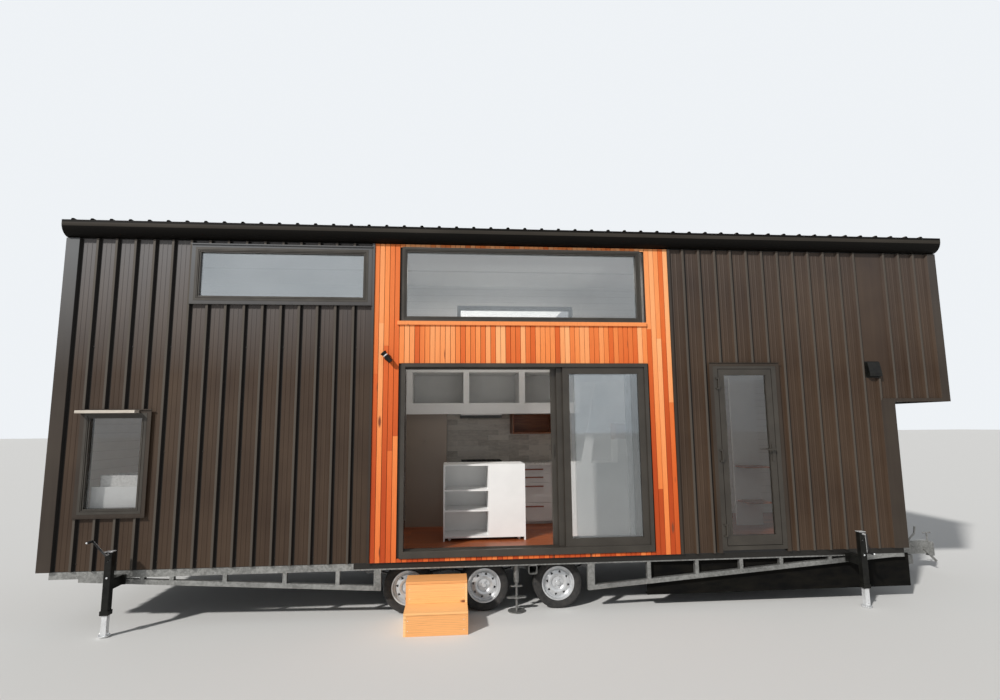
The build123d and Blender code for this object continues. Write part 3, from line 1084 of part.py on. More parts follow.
def guide(y, low, high, widen, mode):
    """A guide rib under or over a sliding panel, or the groove that runs on it."""
    middle = y + PANEL_DEPTH / 2
    half = GUIDE / 2 + widen
    block((SLIDER_LEFT + SLIDER_JAMB, SLIDER_RIGHT - SLIDER_JAMB), (middle - half, middle + half),
          (low, high), mode)


with BuildPart() as slider_frame:
    depth = (-SLIDER_PROUD, SLIDER_BACK)
    block((SLIDER_LEFT, SLIDER_RIGHT), depth, (SLIDER_BOTTOM, SILL_TOP))
    block((SLIDER_LEFT, SLIDER_RIGHT), depth, (HEAD_UNDER, SLIDER_TOP))
    for x in (SLIDER_LEFT, SLIDER_RIGHT - SLIDER_JAMB):
        block((x, x + SLIDER_JAMB), depth, (SLIDER_BOTTOM, SLIDER_TOP))
    extrude(panel(FIXED_LEFT, TRACKS[0], SILL_TOP, HEAD_UNDER), amount=-PANEL_DEPTH)
    for track in TRACKS[1:]:
        guide(track, SILL_TOP - TRIM, SILL_TOP + GUIDE_HEIGHT, 0.0, Mode.ADD)
        guide(track, HEAD_UNDER - END_GAP - GUIDE_HEIGHT, HEAD_UNDER + TRIM, 0.0, Mode.ADD)
    chamfer(slider_frame.edges().filter_by(Axis.X).group_by(Axis.Y)[0], TRIM)
write(slider_frame, "slider_frame")

with BuildPart() as fixed_glass:
    panel_glass(FIXED_LEFT, TRACKS[0], SILL_TOP, HEAD_UNDER)
write(fixed_glass, "slider_fixed_glass")

for name, x, track in (("middle", MIDDLE_PANEL_LEFT, TRACKS[1]), ("lead", LEAD_PANEL_LEFT, TRACKS[2])):
    with BuildPart() as sliding_panel:
        extrude(panel(x, track, PANEL_BOTTOM, PANEL_TOP), amount=-PANEL_DEPTH)
        guide(track, PANEL_BOTTOM - TRIM, SILL_TOP + GUIDE_HEIGHT + GUIDE_CLEARANCE, GUIDE_CLEARANCE,
              Mode.SUBTRACT)
        guide(track, PANEL_TOP - GUIDE_HEIGHT - GUIDE_CLEARANCE, PANEL_TOP + TRIM, GUIDE_CLEARANCE,
              Mode.SUBTRACT)
        if name == "lead":
            with BuildSketch(Plane.XZ.offset(-track)):
                with Locations((x + PANEL_STILE / 2, LEVER_HEIGHT)):
                    SlotOverall(PULL_LENGTH, PULL_WIDTH, rotation=90)
            extrude(amount=-PULL_DEPTH, mode=Mode.SUBTRACT)
            with BuildSketch(Plane.XZ.offset(-(track + PULL_DEPTH))):
                with Locations((x + PANEL_STILE / 2, LEVER_HEIGHT)):
                    Rectangle(PULL_WIDTH / 4, PULL_LENGTH / 2)
            extrude(amount=PULL_DEPTH - TRIM / 2)
    write(sliding_panel, f"slider_{name}_panel")
    with BuildPart() as sliding_glass:
        panel_glass(x, track, PANEL_BOTTOM, PANEL_TOP)
    write(sliding_glass, f"slider_{name}_glass")

# Entry door, hung on three pin hinges at its left edge
LEAF_X = (ENTRY_LEFT + ENTRY_JAMB + ENTRY_GAP, ENTRY_RIGHT - ENTRY_JAMB - ENTRY_GAP)
LEAF_Z = (ENTRY_BOTTOM + ENTRY_SILL + ENTRY_GAP, ENTRY_TOP - ENTRY_HEAD - ENTRY_GAP)
LEAF_Y = (-ENTRY_PROUD, -ENTRY_PROUD + LEAF_DEPTH)
HINGE_X = LEAF_X[0] - ENTRY_GAP / 2
HINGE_Y = LEAF_Y[0] - HINGE_RADIUS - HINGE_STANDOFF
HINGE_Z = (LEAF_Z[0] + HINGE_INSET, (LEAF_Z[0] + LEAF_Z[1]) / 2, LEAF_Z[1] - HINGE_INSET)
with BuildPart() as entry_frame:
    stop_front = LEAF_Y[1] + ENTRY_GAP
    for depth, width, sill in (((LEAF_Y[0], WALL_IN), 0.0, ENTRY_SILL),
                               ((stop_front, WALL_IN), ENTRY_STOP, ENTRY_SILL + ENTRY_STOP)):
        for x in ((ENTRY_LEFT, ENTRY_LEFT + ENTRY_JAMB + width),
                  (ENTRY_RIGHT - ENTRY_JAMB - width, ENTRY_RIGHT)):
            block(x, depth, (ENTRY_BOTTOM, ENTRY_TOP))
        block((ENTRY_LEFT, ENTRY_RIGHT), depth, (ENTRY_BOTTOM, ENTRY_BOTTOM + sill))
        block((ENTRY_LEFT, ENTRY_RIGHT), depth, (ENTRY_TOP - ENTRY_HEAD - width, ENTRY_TOP))
    for z in HINGE_Z:
        with Locations((HINGE_X, HINGE_Y, z)):
            Cylinder(HINGE_PIN, HINGE_LENGTH + HINGE_CAP + 2 * SEAT)
        for end in (-1, 1):
            middle = z + end * (HINGE_LENGTH / 2 + HINGE_CAP / 2 + SEAT)
            with Locations((HINGE_X, HINGE_Y, middle)):
                Cylinder(HINGE_RADIUS, HINGE_CAP)
            block((HINGE_X - 3 * HINGE_RADIUS, HINGE_X), (HINGE_Y - TRIM, LEAF_Y[0] + TRIM),
                  (middle - HINGE_CAP / 2, middle + HINGE_CAP / 2))
write(entry_frame, "entry_frame")

with BuildPart() as entry_door:
    with BuildSketch(Plane.XZ.offset(-LEAF_Y[0])):
        with Locations(((LEAF_X[0] + LEAF_X[1]) / 2, (LEAF_Z[0] + LEAF_Z[1]) / 2)):
            Rectangle(LEAF_X[1] - LEAF_X[0], LEAF_Z[1] - LEAF_Z[0])
        with Locations(((LEAF_X[0] + LEAF_X[1]) / 2,
                        (LEAF_Z[0] + ENTRY_BOTTOM_RAIL + LEAF_Z[1] - ENTRY_STILE) / 2)):
            Rectangle(LEAF_X[1] - LEAF_X[0] - 2 * ENTRY_STILE,
                      LEAF_Z[1] - LEAF_Z[0] - ENTRY_BOTTOM_RAIL - ENTRY_STILE,
                      mode=Mode.SUBTRACT)
    extrude(amount=-LEAF_DEPTH)
    for z in HINGE_Z:
        knuckle = HINGE_LENGTH / 2
        block((HINGE_X, HINGE_X + 3 * HINGE_RADIUS), (HINGE_Y - TRIM, LEAF_Y[0]),
              (z - knuckle + HINGE_PIN, z + knuckle - HINGE_PIN))
        with Locations((HINGE_X, HINGE_Y, z)):
            Cylinder(HINGE_RADIUS, HINGE_LENGTH)
            Cylinder(HINGE_PIN + AXLE_CLEARANCE, HINGE_LENGTH + TRIM, mode=Mode.SUBTRACT)
    handle_x = LEAF_X[1] - ENTRY_STILE / 2
    with BuildSketch(Plane.XZ.offset(-LEAF_Y[0])):
        with Locations((handle_x, LEVER_HEIGHT - LOCK_DROP / 2)):
            RectangleRounded(PULL_WIDTH + 2 * TRIM, PULL_LENGTH + 2 * BOARD, TRIM)
    extrude(amount=TRIM * 2)
    extrude(disc(Plane.XZ.offset(-LEAF_Y[0]), (handle_x, LEVER_HEIGHT), HINGE_RADIUS), amount=LEVER_REACH)
    extrude(disc(Plane.XZ.offset(-LEAF_Y[0]), (handle_x, LEVER_HEIGHT - LOCK_DROP), HINGE_RADIUS),
            amount=3 * TRIM)
    with BuildSketch(Plane.XZ.offset(-LEAF_Y[0] + LEVER_REACH - 3 * TRIM)):
        with Locations((handle_x - LEVER_LENGTH / 2 + HINGE_RADIUS, LEVER_HEIGHT)):
            SlotOverall(LEVER_LENGTH, 2 * HINGE_RADIUS - TRIM)
    extrude(amount=3 * TRIM)
write(entry_door, "entry_door")

with BuildPart() as entry_door_glass:
    middle = (LEAF_Y[0] + LEAF_Y[1]) / 2
    block((LEAF_X[0] + ENTRY_STILE, LEAF_X[1] - ENTRY_STILE), (middle - GLASS / 2, middle + GLASS / 2),
          (LEAF_Z[0] + ENTRY_BOTTOM_RAIL, LEAF_Z[1] - ENTRY_STILE))
write(entry_door_glass, "entry_door_glass")

# Wall lamp: round rose, short arm and a tilted head with a flared rim
LAMP_AT = (BAY_LEFT + LAMP_ACROSS, LAMP_HEIGHT)
with BuildPart() as wall_lamp:
    lamp_y = -BOARD - LAMP_REACH
    extrude(disc(Plane.XZ.offset(BOARD), LAMP_AT, LAMP_RADIUS + TRIM), amount=DRIP)
    extrude(disc(Plane.XZ.offset(BOARD), LAMP_AT, HINGE_RADIUS), amount=LAMP_REACH)
    with Locations(Location((LAMP_AT[0], lamp_y, LAMP_AT[1]), (0, LAMP_TILT, 0))):
        Cylinder(LAMP_RADIUS - TRIM, LAMP_LENGTH)
        with Locations((0, 0, LAMP_LENGTH / 2)):
            Cone(LAMP_RADIUS - TRIM, LAMP_RADIUS + TRIM, LAMP_LENGTH / 4,
                 align=(Align.CENTER, Align.CENTER, Align.MAX))
            Cylinder(LAMP_RADIUS - TRIM, LAMP_LENGTH / 4, mode=Mode.SUBTRACT)
write(wall_lamp, "wall_lamp")

# Vent cowl: sloped hood, open below, on a flange over the apron
with BuildPart() as vent_cowl:
    width, reach, height = VENT_SIZE
    for wall, mode in ((0.0, Mode.ADD), (SHEET, Mode.SUBTRACT)):
        extrude(outline(Plane.YZ.offset(VENT_LEFT + wall), [
            (-wall, VENT_SILL - wall), (-reach + wall, VENT_SILL - wall),
            (-reach + wall, VENT_SILL + 3 * DRIP),
            (-reach / 2 + wall, VENT_SILL + height - wall), (-wall, VENT_SILL + height - wall)]),
            amount=width - 2 * wall, mode=mode)
    extrude(ring((VENT_LEFT, VENT_LEFT + width, VENT_SILL, VENT_SILL + height), -SHEET, DRIP, -DRIP),
            amount=-SHEET)
write(vent_cowl, "vent_cowl")

# Jacks: four square tubes with collars, caps and brackets, screw legs on dished feet, and side cranks
JACKS = (("front_left", LEFT_JACK, -1, -1), ("front_right", RIGHT_JACK, -1, 1),
         ("rear_left", LEFT_JACK, 1, -1), ("rear_right", RIGHT_JACK, 1, 1))


def jack_y(row):
    """Centre of a jack in front of (-1) or behind (+1) the house."""
    return -JACK_OUT if row < 0 else HOUSE_WIDTH + JACK_OUT


def square(x, y, half, low, high, mode=Mode.ADD):
    """A square post about a vertical line."""
    block((x - half, x + half), (y - half, y + half), (low, high), mode)


TUBE_LOW = GROUND + JACK_TUBE_BOTTOM
TUBE_HIGH = GROUND + JACK_TUBE_TOP
CRANK_Z = TUBE_HIGH - CRANK_DROP
with BuildPart() as jack_tubes:
    for name, x, row, side in JACKS:
        y = jack_y(row)
        half = JACK_TUBE / 2
        with BuildSketch(Plane.XY.offset(TUBE_LOW)):
            with Locations((x, y)):
                RectangleRounded(JACK_TUBE, JACK_TUBE, JACK_WALL)
        extrude(amount=TUBE_HIGH - TUBE_LOW)
        square(x, y, half + JACK_COLLAR, TUBE_LOW, TUBE_LOW + COLLAR_HEIGHT)
        square(x, y, half + JACK_COLLAR / 2, TUBE_HIGH - JACK_COLLAR, TUBE_HIGH)
        square(x, y, half - JACK_WALL, TUBE_LOW + COLLAR_HEIGHT, TUBE_HIGH - JACK_WALL, Mode.SUBTRACT)
        square(x, y, JACK_LEG / 2 + LEG_CLEARANCE, TUBE_LOW, TUBE_LOW + COLLAR_HEIGHT, Mode.SUBTRACT)
        near = y - row * half
        rail = TRUSS_INSET if row < 0 else HOUSE_WIDTH - TRUSS_INSET
        low, high = RAIL_UNDER - BRACKET, RAIL_UNDER + RAIL_HEIGHT / 2
        block((x - BRACKET / 2, x + BRACKET / 2), (near, rail), (low, high))
        block((x - BRACKET / 2 + JACK_WALL, x + BRACKET / 2 - JACK_WALL), (near + row * TRIM, rail),
              (low + JACK_WALL, high - JACK_WALL),
              Mode.SUBTRACT)
        block((x - BRACKET, x + BRACKET), (rail, rail + row * BRACKET_PLATE), (low, high))
        with Locations(Location((x, y + row * half, TUBE_HIGH - JACK_PIN_DROP), (90, 0, 0))):
            Cylinder(CRANK_ROD, 2 * JACK_COLLAR)
write(jack_tubes, "jack_tubes")

for name, x, row, side in JACKS:
    y = jack_y(row)
    with BuildPart() as jack_leg:
        half = JACK_LEG / 2
        square(x, y, half, GROUND + FOOT_SHEET, GROUND + JACK_LEG_LENGTH)
        square(x, y, half - LEG_WALL, GROUND + 4 * FOOT_SHEET, GROUND + JACK_LEG_LENGTH, Mode.SUBTRACT)
        with BuildSketch(Plane(origin=(x, y, GROUND), x_dir=(1, 0, 0), z_dir=(0, -1, 0))):
            with BuildLine():
                foot, rise = JACK_FOOT / 2, 3 * FOOT_SHEET
                Polyline((0.0, FOOT_SHEET), (0.0, 0.0), (foot * 0.7, 0.0))
                ThreePointArc((foot * 0.7, 0.0), (foot * 0.91, rise * 0.32), (foot, rise))
                Line((foot, rise), (foot - FOOT_SHEET, rise))
                ThreePointArc((foot - FOOT_SHEET, rise), (foot * 0.85, rise * 0.52),
                              (foot * 0.64, FOOT_SHEET))
                Line((foot * 0.64, FOOT_SHEET), (0.0, FOOT_SHEET))
            make_face()
        revolve(axis=Axis((x, y, 0), (0, 0, 1)))
        across = 0 if side < 0 else 90
        with Locations(Location((x, y, GROUND + JACK_LEG / 2 + FOOT_SHEET), (0, 0, across))):
            for end in (-1, 1):
                with Locations((end * (half + FOOT_SHEET / 2), 0, 0)):
                    Box(FOOT_SHEET, JACK_LEG * 0.7, JACK_LEG)
            with Locations(Location((0, 0, 0), (0, 90, 0))):
                Cylinder(CRANK_ROD, JACK_LEG + 6 * FOOT_SHEET)
    write(jack_leg, f"jack_leg_{name}")
    with BuildPart() as jack_crank:
        lean = CRANK_LEANS[0] if side < 0 else CRANK_LEANS[1]
        hub = Plane(origin=(x, y + row * (JACK_TUBE / 2 + SEAT), CRANK_Z), x_dir=(-row, 0, 0),
                    z_dir=(0, row, 0))
        arm = hub.offset(CRANK_REACH)
        end = (-row * CRANK_ARM * cos(radians(lean)), CRANK_ARM * sin(radians(lean)))
        extrude(disc(hub, (0, 0), CRANK_ROD), amount=CRANK_REACH + CRANK_ROD)
        with BuildSketch(arm):
            with Locations((end[0] / 2, end[1] / 2)):
                SlotCenterToCenter(CRANK_ARM, 2 * CRANK_ROD, rotation=lean if row < 0 else 180.0 - lean)
        extrude(amount=CRANK_ROD)
        extrude(disc(arm, end, CRANK_ROD / 2), amount=GRIP_LENGTH + 2 * CRANK_ROD)
        extrude(disc(arm.offset(CRANK_ROD), end, GRIP_RADIUS), amount=GRIP_LENGTH)
        with Locations(arm.offset(GRIP_LENGTH + 2 * CRANK_ROD).location):
            with Locations((end[0], end[1], 0)):
                Sphere(CRANK_ROD)
    write(jack_crank, f"jack_crank_{name}")

# Prop stands between the second and third wheels: foot, screw, two winged nuts, sleeve and tube
with BuildPart() as prop_stands:
    for y, wing in ((PROP_Y, 1), (HOUSE_WIDTH - PROP_Y, -1)):
        centre = (PROP_X, y)
        extrude(disc(Plane.XY.offset(GROUND), centre, PROP_FOOT), amount=LEAF)
        extrude(disc(Plane.XY.offset(GROUND), centre, PROP_SCREW), amount=PROP_NUT_HEIGHTS[0])
        extrude(disc(Plane.XY.offset(GROUND + PROP_NUT_HEIGHTS[0]), centre, PROP_SLEEVE),
                amount=RAIL_UNDER - GROUND - PROP_NUT_HEIGHTS[0])
        extrude(disc(Plane.XY.offset(RAIL_UNDER - 2 * PROP_FOOT), centre, PROP_TUBE), amount=2 * PROP_FOOT)
        for height, radius in zip(PROP_NUT_HEIGHTS, PROP_NUT_RADII):
            extrude(disc(Plane.XY.offset(GROUND + height - LEAF), centre, radius * 0.4), amount=2 * LEAF)
            with BuildSketch(Plane.XY.offset(GROUND + height - LEAF / 2)):
                with Locations(centre):
                    SlotOverall(2 * radius, radius * 0.6)
            extrude(amount=LEAF)
        block((PROP_X - PROP_TUBE, MIDDLE_CROSS[-1] - TRIM),
              (max(INNER_FRONT, y - PROP_TUBE), min(INNER_REAR, y + PROP_TUBE)),
              (RAIL_UNDER - LEAF, RAIL_UNDER))
write(prop_stands, "prop_stands")

# Loose two-step box of boards: stepped sides, risers between them, treads with a nosing
with BuildPart() as step_box:
    front, middle, back = STEP_FRONT, STEP_FRONT + STEP_TREAD, STEP_FRONT + 2 * STEP_TREAD
    left, right = SLIDER_LEFT + STEP_ACROSS, SLIDER_LEFT + STEP_ACROSS + STEP_WIDTH
    low_tread, high_tread = GROUND + STEP_RISE - STEP_BOARD, GROUND + 2 * STEP_RISE - STEP_BOARD
    for x in (left, right - STEP_BOARD):
        extrude(outline(Plane.YZ.offset(x), [
            (front + STEP_NOSE, GROUND), (back, GROUND), (back, high_tread),
            (middle + STEP_NOSE, high_tread),
            (middle + STEP_NOSE, low_tread), (front + STEP_NOSE, low_tread)]), amount=STEP_BOARD)
    for y, low, high in ((front, GROUND, low_tread), (middle, low_tread, high_tread)):
        block((left, right), (y + STEP_NOSE, y + STEP_NOSE + STEP_BOARD), (low, high))
        block((left, right), (y, y + STEP_TREAD + (STEP_NOSE + STEP_BOARD if y == front else 0.0)),
              (high, high + STEP_BOARD))
    block((left, right), (back - STEP_BOARD, back), (high_tread - 3 * STEP_BOARD, high_tread))
write(step_box, "step_box")

# Kitchen along the back wall: tall cupboard, bench cabinets with drawers, and the vanity by the left end
TALL_RIGHT = KITCHEN_LEFT + TALL_WIDTH
KITCHEN_RIGHT = KITCHEN_LEFT + UPPER_WIDTH
DRAWER_LEFT = TALL_RIGHT + DRAWER_ACROSS
HOOD_LEFT = TALL_RIGHT + HOOD_BOX[0]
CABINET_TOP = BENCH_HEIGHT - BENCH_THICKNESS
CABINET_FOOT = FLOOR_TOP + TOE_KICK
with BuildPart() as kitchen_cabinets:
    block((KITCHEN_LEFT, TALL_RIGHT), (KITCHEN_FRONT, REAR_IN), (FLOOR_TOP, UPPER_BOTTOM))
    block((KITCHEN_LEFT, TALL_RIGHT), (KITCHEN_FRONT - SHEET, KITCHEN_FRONT),
          (FLOOR_TOP, FLOOR_TOP + 2 * TOE_KICK))
    square(KITCHEN_LEFT + TALL_WIDTH * 0.46, KITCHEN_FRONT - DRIP, DRIP,
           UPPER_BOTTOM - 4 * PANEL_RAIL - DRIP,
           UPPER_BOTTOM - 4 * PANEL_RAIL + DRIP)
    block((TALL_RIGHT, KITCHEN_RIGHT), (KITCHEN_FRONT + DRAWER_FRONT, REAR_IN), (CABINET_FOOT, CABINET_TOP))
    block((TALL_RIGHT, KITCHEN_RIGHT), (KITCHEN_FRONT + DRAWER_FRONT + TOE_KICK, REAR_IN),
          (FLOOR_TOP, CABINET_FOOT))
    for high, height in zip(DRAWER_TOPS, DRAWER_HEIGHTS):
        block((DRAWER_LEFT, DRAWER_LEFT + DRAWER_WIDTH), (KITCHEN_FRONT, KITCHEN_FRONT + DRAWER_FRONT),
              (high - height, high))
        grip_x = DRAWER_LEFT + DRAWER_WIDTH / 2
        grip_z = (high - HANDLE_DROP - DRIP, high - HANDLE_DROP)
        block((grip_x - HANDLE / 2, grip_x + HANDLE / 2), (KITCHEN_FRONT - 2 * DRIP, KITCHEN_FRONT - DRIP),
              grip_z)
        for x in (grip_x - HANDLE / 2, grip_x + HANDLE / 2 - DRIP):
            block((x, x + DRIP), (KITCHEN_FRONT - DRIP, KITCHEN_FRONT), grip_z)
    for x0, x1 in ((TALL_RIGHT + SHEET, DRAWER_LEFT - SHEET),
                   (DRAWER_LEFT + DRAWER_WIDTH + SHEET, KITCHEN_RIGHT)):
        block((x0, x1), (KITCHEN_FRONT, KITCHEN_FRONT + DRAWER_FRONT), (CABINET_FOOT, DRAWER_TOPS[0]))
    block((VANITY_LEFT, VANITY_LEFT + VANITY_WIDTH), (WALL_IN, WALL_IN + VANITY_DEPTH),
          (FLOOR_TOP + TOE_KICK, VANITY_TOP))
    block((VANITY_LEFT, VANITY_LEFT + VANITY_WIDTH), (WALL_IN, WALL_IN + VANITY_DEPTH - TOE_KICK),
          (FLOOR_TOP, FLOOR_TOP + TOE_KICK))
write(kitchen_cabinets, "kitchen_cabinets")

# Overhead unit with three open recesses, the slim range hood and the timber shelf box under it
with BuildPart() as overhead_cabinet:
    block((KITCHEN_LEFT, KITCHEN_RIGHT), (UPPER_FRONT, REAR_IN), (UPPER_BOTTOM, UPPER_TOP))
    bay = (UPPER_WIDTH - 4 * UPPER_POST) / 3
    for i in range(3):
        x0 = KITCHEN_LEFT + UPPER_POST + i * (bay + UPPER_POST)
        block((x0, x0 + bay), (UPPER_FRONT - TRIM, REAR_IN - BOARD),
              (UPPER_BOTTOM + UPPER_RAIL, UPPER_TOP - UPPER_POST),
              Mode.SUBTRACT)
    extrude(outline(Plane.YZ.offset(HOOD_LEFT), [
        (KITCHEN_FRONT, UPPER_BOTTOM), (KITCHEN_FRONT + DRIP, UPPER_BOTTOM - HOOD_BOX[2]),
        (REAR_IN - SPLASH, UPPER_BOTTOM - HOOD_BOX[2]), (REAR_IN - SPLASH, UPPER_BOTTOM)]),
        amount=HOOD_BOX[1])
    box_left, box_front = TALL_RIGHT + SHELF_BOX[0], UPPER_FRONT + SHELF_BOX[3]
    box_width, box_height = SHELF_BOX[1:3]
    block((box_left, box_left + box_width), (box_front, REAR_IN - SPLASH),
          (UPPER_BOTTOM - box_height, UPPER_BOTTOM))
    block((box_left + BOARD_THICK, box_left + box_width - BOARD_THICK),
          (box_front - TRIM, REAR_IN - SPLASH - BOARD_THICK),
          (UPPER_BOTTOM - box_height + BOARD_THICK, UPPER_BOTTOM), Mode.SUBTRACT)
write(overhead_cabinet, "overhead_cabinet")

# Worktop with the hob and the tiled splashback, and the basin by the small window
with BuildPart() as worktop:
    block((TALL_RIGHT, KITCHEN_RIGHT), (KITCHEN_FRONT - BENCH_LIP, REAR_IN), (CABINET_TOP, BENCH_HEIGHT))
    block((TALL_RIGHT, KITCHEN_RIGHT), (REAR_IN - SPLASH, REAR_IN), (BENCH_HEIGHT, UPPER_BOTTOM))
    hob_left, hob_width, hob_height = TALL_RIGHT + HOB[0], HOB[1], HOB[2]
    hob_y = (KITCHEN_FRONT + 2 * TOE_KICK, REAR_IN - 2 * TOE_KICK)
    block((hob_left, hob_left + hob_width), hob_y, (BENCH_HEIGHT, BENCH_HEIGHT + hob_height / 3))
    for i in (1, 3):
        for j in (1, 3):
            with Locations((hob_left + hob_width * i / 4, hob_y[0] + (hob_y[1] - hob_y[0]) * j / 4,
                            BENCH_HEIGHT + hob_height * 0.6)):
                Cylinder(hob_width / 9, hob_height * 0.8)
    basin = VANITY_WIDTH - 2 * TOE_KICK
    with BuildSketch(Plane.XY.offset(VANITY_TOP)):
        with Locations((VANITY_LEFT + VANITY_WIDTH / 2, WALL_IN + VANITY_DEPTH / 2)):
            RectangleRounded(basin, VANITY_DEPTH - 2 * TOE_KICK, TOE_KICK)
    extrude(amount=BASIN_HEIGHT)
    with BuildSketch(Plane.XY.offset(VANITY_TOP + BASIN_HEIGHT)):
        with Locations((VANITY_LEFT + VANITY_WIDTH / 2, WALL_IN + VANITY_DEPTH / 2)):
            RectangleRounded(basin - 2 * BOARD_THICK, VANITY_DEPTH - 2 * TOE_KICK - 2 * BOARD_THICK,
                             TOE_KICK - BOARD_THICK)
    extrude(amount=-(BASIN_HEIGHT - BOARD_THICK), taper=8.0, mode=Mode.SUBTRACT)
write(worktop, "worktop")

# White island trolley: open shelves on the left, a plain front on the right, castors below
with BuildPart() as island_trolley:
    left, right = TROLLEY_LEFT, TROLLEY_LEFT + TROLLEY_WIDTH
    front, back = TROLLEY_FRONT, TROLLEY_FRONT + TROLLEY_DEPTH
    block((left, right), (front, back), (TROLLEY_SHELVES[0] - BOARD_THICK, TROLLEY_TOP))
    levels = [z for z in TROLLEY_SHELVES] + [TROLLEY_TOP - BOARD_THICK]
    for low, high in zip(levels, levels[1:]):
        top = high if high == levels[-1] else high - BOARD_THICK
        block((left + BOARD_THICK, left + TROLLEY_DIVIDER - BOARD_THICK),
              (front - TRIM, back - BOARD_THICK), (low, top), Mode.SUBTRACT)
    for x in (left, right - BOARD_THICK):
        block((x, x + BOARD_THICK), (front, back), (FLOOR_TOP, TROLLEY_SHELVES[0]))
    castor_top = TROLLEY_SHELVES[0] - BOARD_THICK
    for x in (left + 3 * CASTOR, right - 3 * CASTOR):
        for y in (front + 3 * CASTOR, back - 3 * CASTOR):
            with Locations(Location((x, y, (FLOOR_TOP + castor_top) / 2), (90, 0, 0))):
                Cylinder((castor_top - FLOOR_TOP) / 2, CASTOR)
write(island_trolley, "island_trolley")

# White stair joinery: cupboard, end panel, slanted string and a timber tread; shelf tower by the entry door
with BuildPart() as stair_wall:
    left, right = STAIR_LEFT, STAIR_LEFT + STAIR_WIDTH
    front = STAIR_FRONT
    block((left, right), (front, front + STAIR_DEPTH), (FLOOR_TOP, STAIR_UNIT_TOP))
    for i in range(1, 3):
        x = left + i * STAIR_WIDTH / 3
        block((x - TRIM / 2, x + TRIM / 2), (front - TRIM, front + TRIM),
              (FLOOR_TOP + TOE_KICK, STAIR_UNIT_TOP - BOARD), Mode.SUBTRACT)
    for points, start, depth in ((STAIR_PANEL, front, 2 * BOARD),
                                 (STAIR_TREAD, front + 2 * BOARD, STAIR_DEPTH / 2)):
        extrude(outline(Plane.XZ.offset(-start), [(right + along, FLOOR_TOP + up) for along, up in points]),
                amount=-depth)
    extrude(outline(Plane.XZ.offset(-front), [(left + along, STAIR_UNIT_TOP + up)
                                              for along, up in STAIR_STRING]), amount=-BOARD)
    block((right, right + STAIR_PANEL[3][0]), (front + BOARD, front + 2 * BOARD + STAIR_DEPTH / 2),
          (FLOOR_TOP, FLOOR_TOP + STAIR_PANEL[3][1] + LEAF))
    x0 = BODY_LENGTH - ENTRY_SHELF_SETBACK
    x1 = x0 + ENTRY_SHELF_WIDTH
    back = ENTRY_SHELF_Y + ENTRY_SHELF_DEPTH
    block((x0 - BOARD, x1 + BOARD), (back, back + BOARD), (FLOOR_TOP, ENTRY_SHELF_TOP))
    for z in ENTRY_SHELF_HEIGHTS:
        block((x0, x1), (ENTRY_SHELF_Y, back), (z, z + BOARD))
write(stair_wall, "stair_wall")
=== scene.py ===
"""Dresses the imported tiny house: folded steel sheets, cedar boards, galvanised chassis, glass and fittings.

Sizes are written in millimetres of the house (X from the walls' left corner, Y into the house from the
front sheets' pans, Z up from their lower edge) and turned into the part's metres by in_frame().
"""
import math

import bpy
import numpy as np
from mathutils import Matrix


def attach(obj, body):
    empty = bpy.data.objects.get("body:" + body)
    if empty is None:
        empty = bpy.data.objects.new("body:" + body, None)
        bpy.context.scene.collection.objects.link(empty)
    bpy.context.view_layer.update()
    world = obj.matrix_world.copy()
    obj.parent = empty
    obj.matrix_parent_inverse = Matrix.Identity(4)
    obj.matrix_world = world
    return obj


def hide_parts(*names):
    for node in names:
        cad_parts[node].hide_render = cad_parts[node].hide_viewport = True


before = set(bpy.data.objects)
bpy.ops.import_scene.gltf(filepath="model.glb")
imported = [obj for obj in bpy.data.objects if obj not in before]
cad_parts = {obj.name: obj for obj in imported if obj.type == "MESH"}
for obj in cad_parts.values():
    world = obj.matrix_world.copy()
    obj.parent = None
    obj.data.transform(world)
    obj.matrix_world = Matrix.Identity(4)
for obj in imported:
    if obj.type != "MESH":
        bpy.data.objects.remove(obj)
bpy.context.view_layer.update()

# Camera and studio. The photograph was taken with a wide lens from in front of the stacking door, about
# two metres up, turned a little to the right and tilted up; the floor and the air round it are plain and pale.
HOUSE_ORIGIN = np.array([5204.0, 1125.15, -560.0])


def in_frame(points):
    """House millimetres to the part's metres: less the origin's place in the house, then over a thousand."""
    return (np.asarray(points, float) - HOUSE_ORIGIN) / 1000.0


def wire(tree, kind, sockets=None, **settings):
    """Adds one shader node; each named socket takes a number, a colour or another node's output."""
    made = tree.nodes.new("ShaderNode" + kind)
    for key, value in settings.items():
        setattr(made, key, value)
    for key, value in (sockets or {}).items():
        if isinstance(value, bpy.types.NodeSocket):
            tree.links.new(value, made.inputs[key])
        else:
            made.inputs[key].default_value = value
    return made


yaw, pitch, roll = (math.radians(a) for a in (-5.12, 7.49, -0.49))
ahead = np.array([-math.sin(yaw) * math.cos(pitch), math.cos(yaw) * math.cos(pitch), math.sin(pitch)])
level = np.array([math.cos(yaw), math.sin(yaw), 0.0])
upright = np.cross(level, ahead)
right = level * math.cos(roll) + upright * math.sin(roll)
upright = upright * math.cos(roll) - level * math.sin(roll)
eye = bpy.data.objects.new("camera", bpy.data.cameras.new("camera"))
bpy.context.scene.collection.objects.link(eye)
standing = in_frame([3971.0, -6193.0, 1392.0])
pose = np.eye(4)
pose[:3, 0], pose[:3, 1], pose[:3, 2], pose[:3, 3] = right, upright, -ahead, standing
eye.matrix_world = Matrix(pose.tolist())
eye.data.sensor_width = 36.0
eye.data.lens = 20.55
eye.data.clip_end = 300.0
bpy.context.scene.camera = eye
bpy.context.scene.view_settings.view_transform = "Standard"

